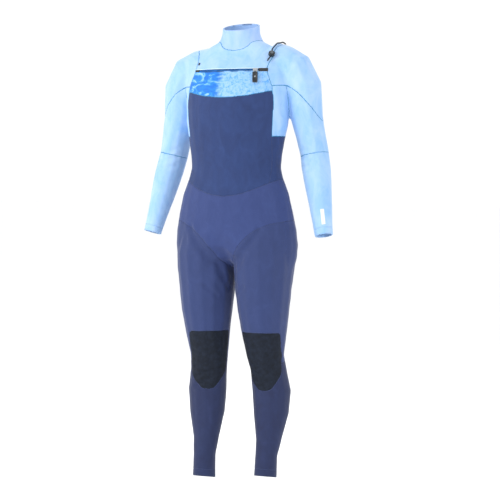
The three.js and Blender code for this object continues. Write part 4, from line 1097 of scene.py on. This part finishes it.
def round_plate(middle, ways, halves, corner, layers, turns=6):
    """A plate with round corners built of rings: each layer is (inset, height) in metres."""
    long_way, wide_way, thin_way = ways
    outline = []
    for quarter in range(4):
        sign_long, sign_wide = ((1, 1), (-1, 1), (-1, -1), (1, -1))[quarter]
        for turn in range(turns + 1):
            angle = math.pi / 2 * (quarter + turn / turns)
            outline.append((sign_long * (halves[0] - corner), sign_wide * (halves[1] - corner),
                            math.cos(angle), math.sin(angle)))
    vertices = []
    for inset, height in layers:
        for along, across, cos_turn, sin_turn in outline:
            vertices.append(middle + (along + (corner - inset) * cos_turn) * long_way
                            + (across + (corner - inset) * sin_turn) * wide_way + height * thin_way)
    return vertices, faces_between(len(layers), len(outline))


TAB_CORNER = 3.2 * MM
RIBS = 3
tab_middle, tab_ways, tab_halves = lie_of("zip_pull_tab")
if tab_ways[2] @ np.array((0, -1, 0)) < 0:
    tab_ways[2] = -tab_ways[2]
if tab_ways[0][2] > 0:
    tab_ways[0] = -tab_ways[0]
tab_ways[1] = np.cross(tab_ways[2], tab_ways[0])
thick = tab_halves[2]
pull_tab = facing_out(new_object("pull_tab", *round_plate(
    tab_middle, tab_ways, tab_halves, TAB_CORNER,
    [(0.6 * MM, -thick), (0, -thick + 0.6 * MM), (0, thick - 0.5 * MM), (0.5 * MM, thick),
     (1.5 * MM, thick), (1.9 * MM, thick - 0.6 * MM)]), BLACK_RUBBER))
ribs = []
for number in range(RIBS):
    start = tab_middle + (0.28 + 0.2 * number) * tab_halves[0] * tab_ways[0] + (thick - 0.6 * MM) * tab_ways[2]
    line = np.array([start + share * tab_halves[1] * tab_ways[1] for share in (-0.5, -0.25, 0.0, 0.25, 0.5)])
    ribs.append(swept(line, np.tile(tab_ways[2], (5, 1)), 1.3, 0.9, ROLL_PROFILE))
grip = facing_out(new_object("pull_tab_grip", *gathered([(np.array(v), f) for v, f in ribs]), BLACK_RUBBER))


def ring_piece(name, middle, ways, outer, profile, material, turns=28):
    """A turned ring about the third direction: profile holds (radius share, height)."""
    vertices = []
    for turn in range(turns):
        angle = 2 * math.pi * turn / turns
        spoke = math.cos(angle) * ways[0] + math.sin(angle) * ways[1]
        vertices += [middle + outer * share * spoke + height * ways[2] for share, height in profile]
    return facing_out(new_object(name, vertices, faces_between(turns, len(profile), closed=True), material))


eyelet_spot = tab_middle - 0.1 * tab_halves[0] * tab_ways[0] + (thick - 0.9 * MM) * tab_ways[2]
eyelet = ring_piece("pull_tab_eyelet", eyelet_spot, tab_ways, 2.6 * MM,
                    ((0.45, 0.0), (1.0, 0.0), (0.92, 0.9 * MM), (0.7, 1.2 * MM), (0.5, 0.9 * MM)), METAL)
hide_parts("zip_pull_tab")
for piece, slot_name in ((pull_tab, "black_rubber"), (grip, "black_rubber"), (eyelet, "zinc_alloy")):
    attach(piece, "pull")

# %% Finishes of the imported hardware
PLAIN = {"zip_slider": METAL, "zip_pull_link": METAL, "zip_garage": BLACK_RUBBER, "zip_end_stop": BLACK_PLASTIC,
         "cord_lock_body": BLACK_PLASTIC, "cord_lock_button": GREY_PLASTIC, "cord_lock_spring": METAL,
         "cord_anchor": BLACK_RUBBER, "wrist_label": PATCH}
for node, material in PLAIN.items():
    packed = frame["nodes"][node]
    if not packed.material_slots:
        packed.data.materials.append(material)
    for place in packed.material_slots:
        place.material = material

# %% [markdown]
# ## The last line
# The box of the imported model is printed.

# %% Sizes and finish
print("packed box:", [[round(v, 3) for v in corner] for corner in cad_box])
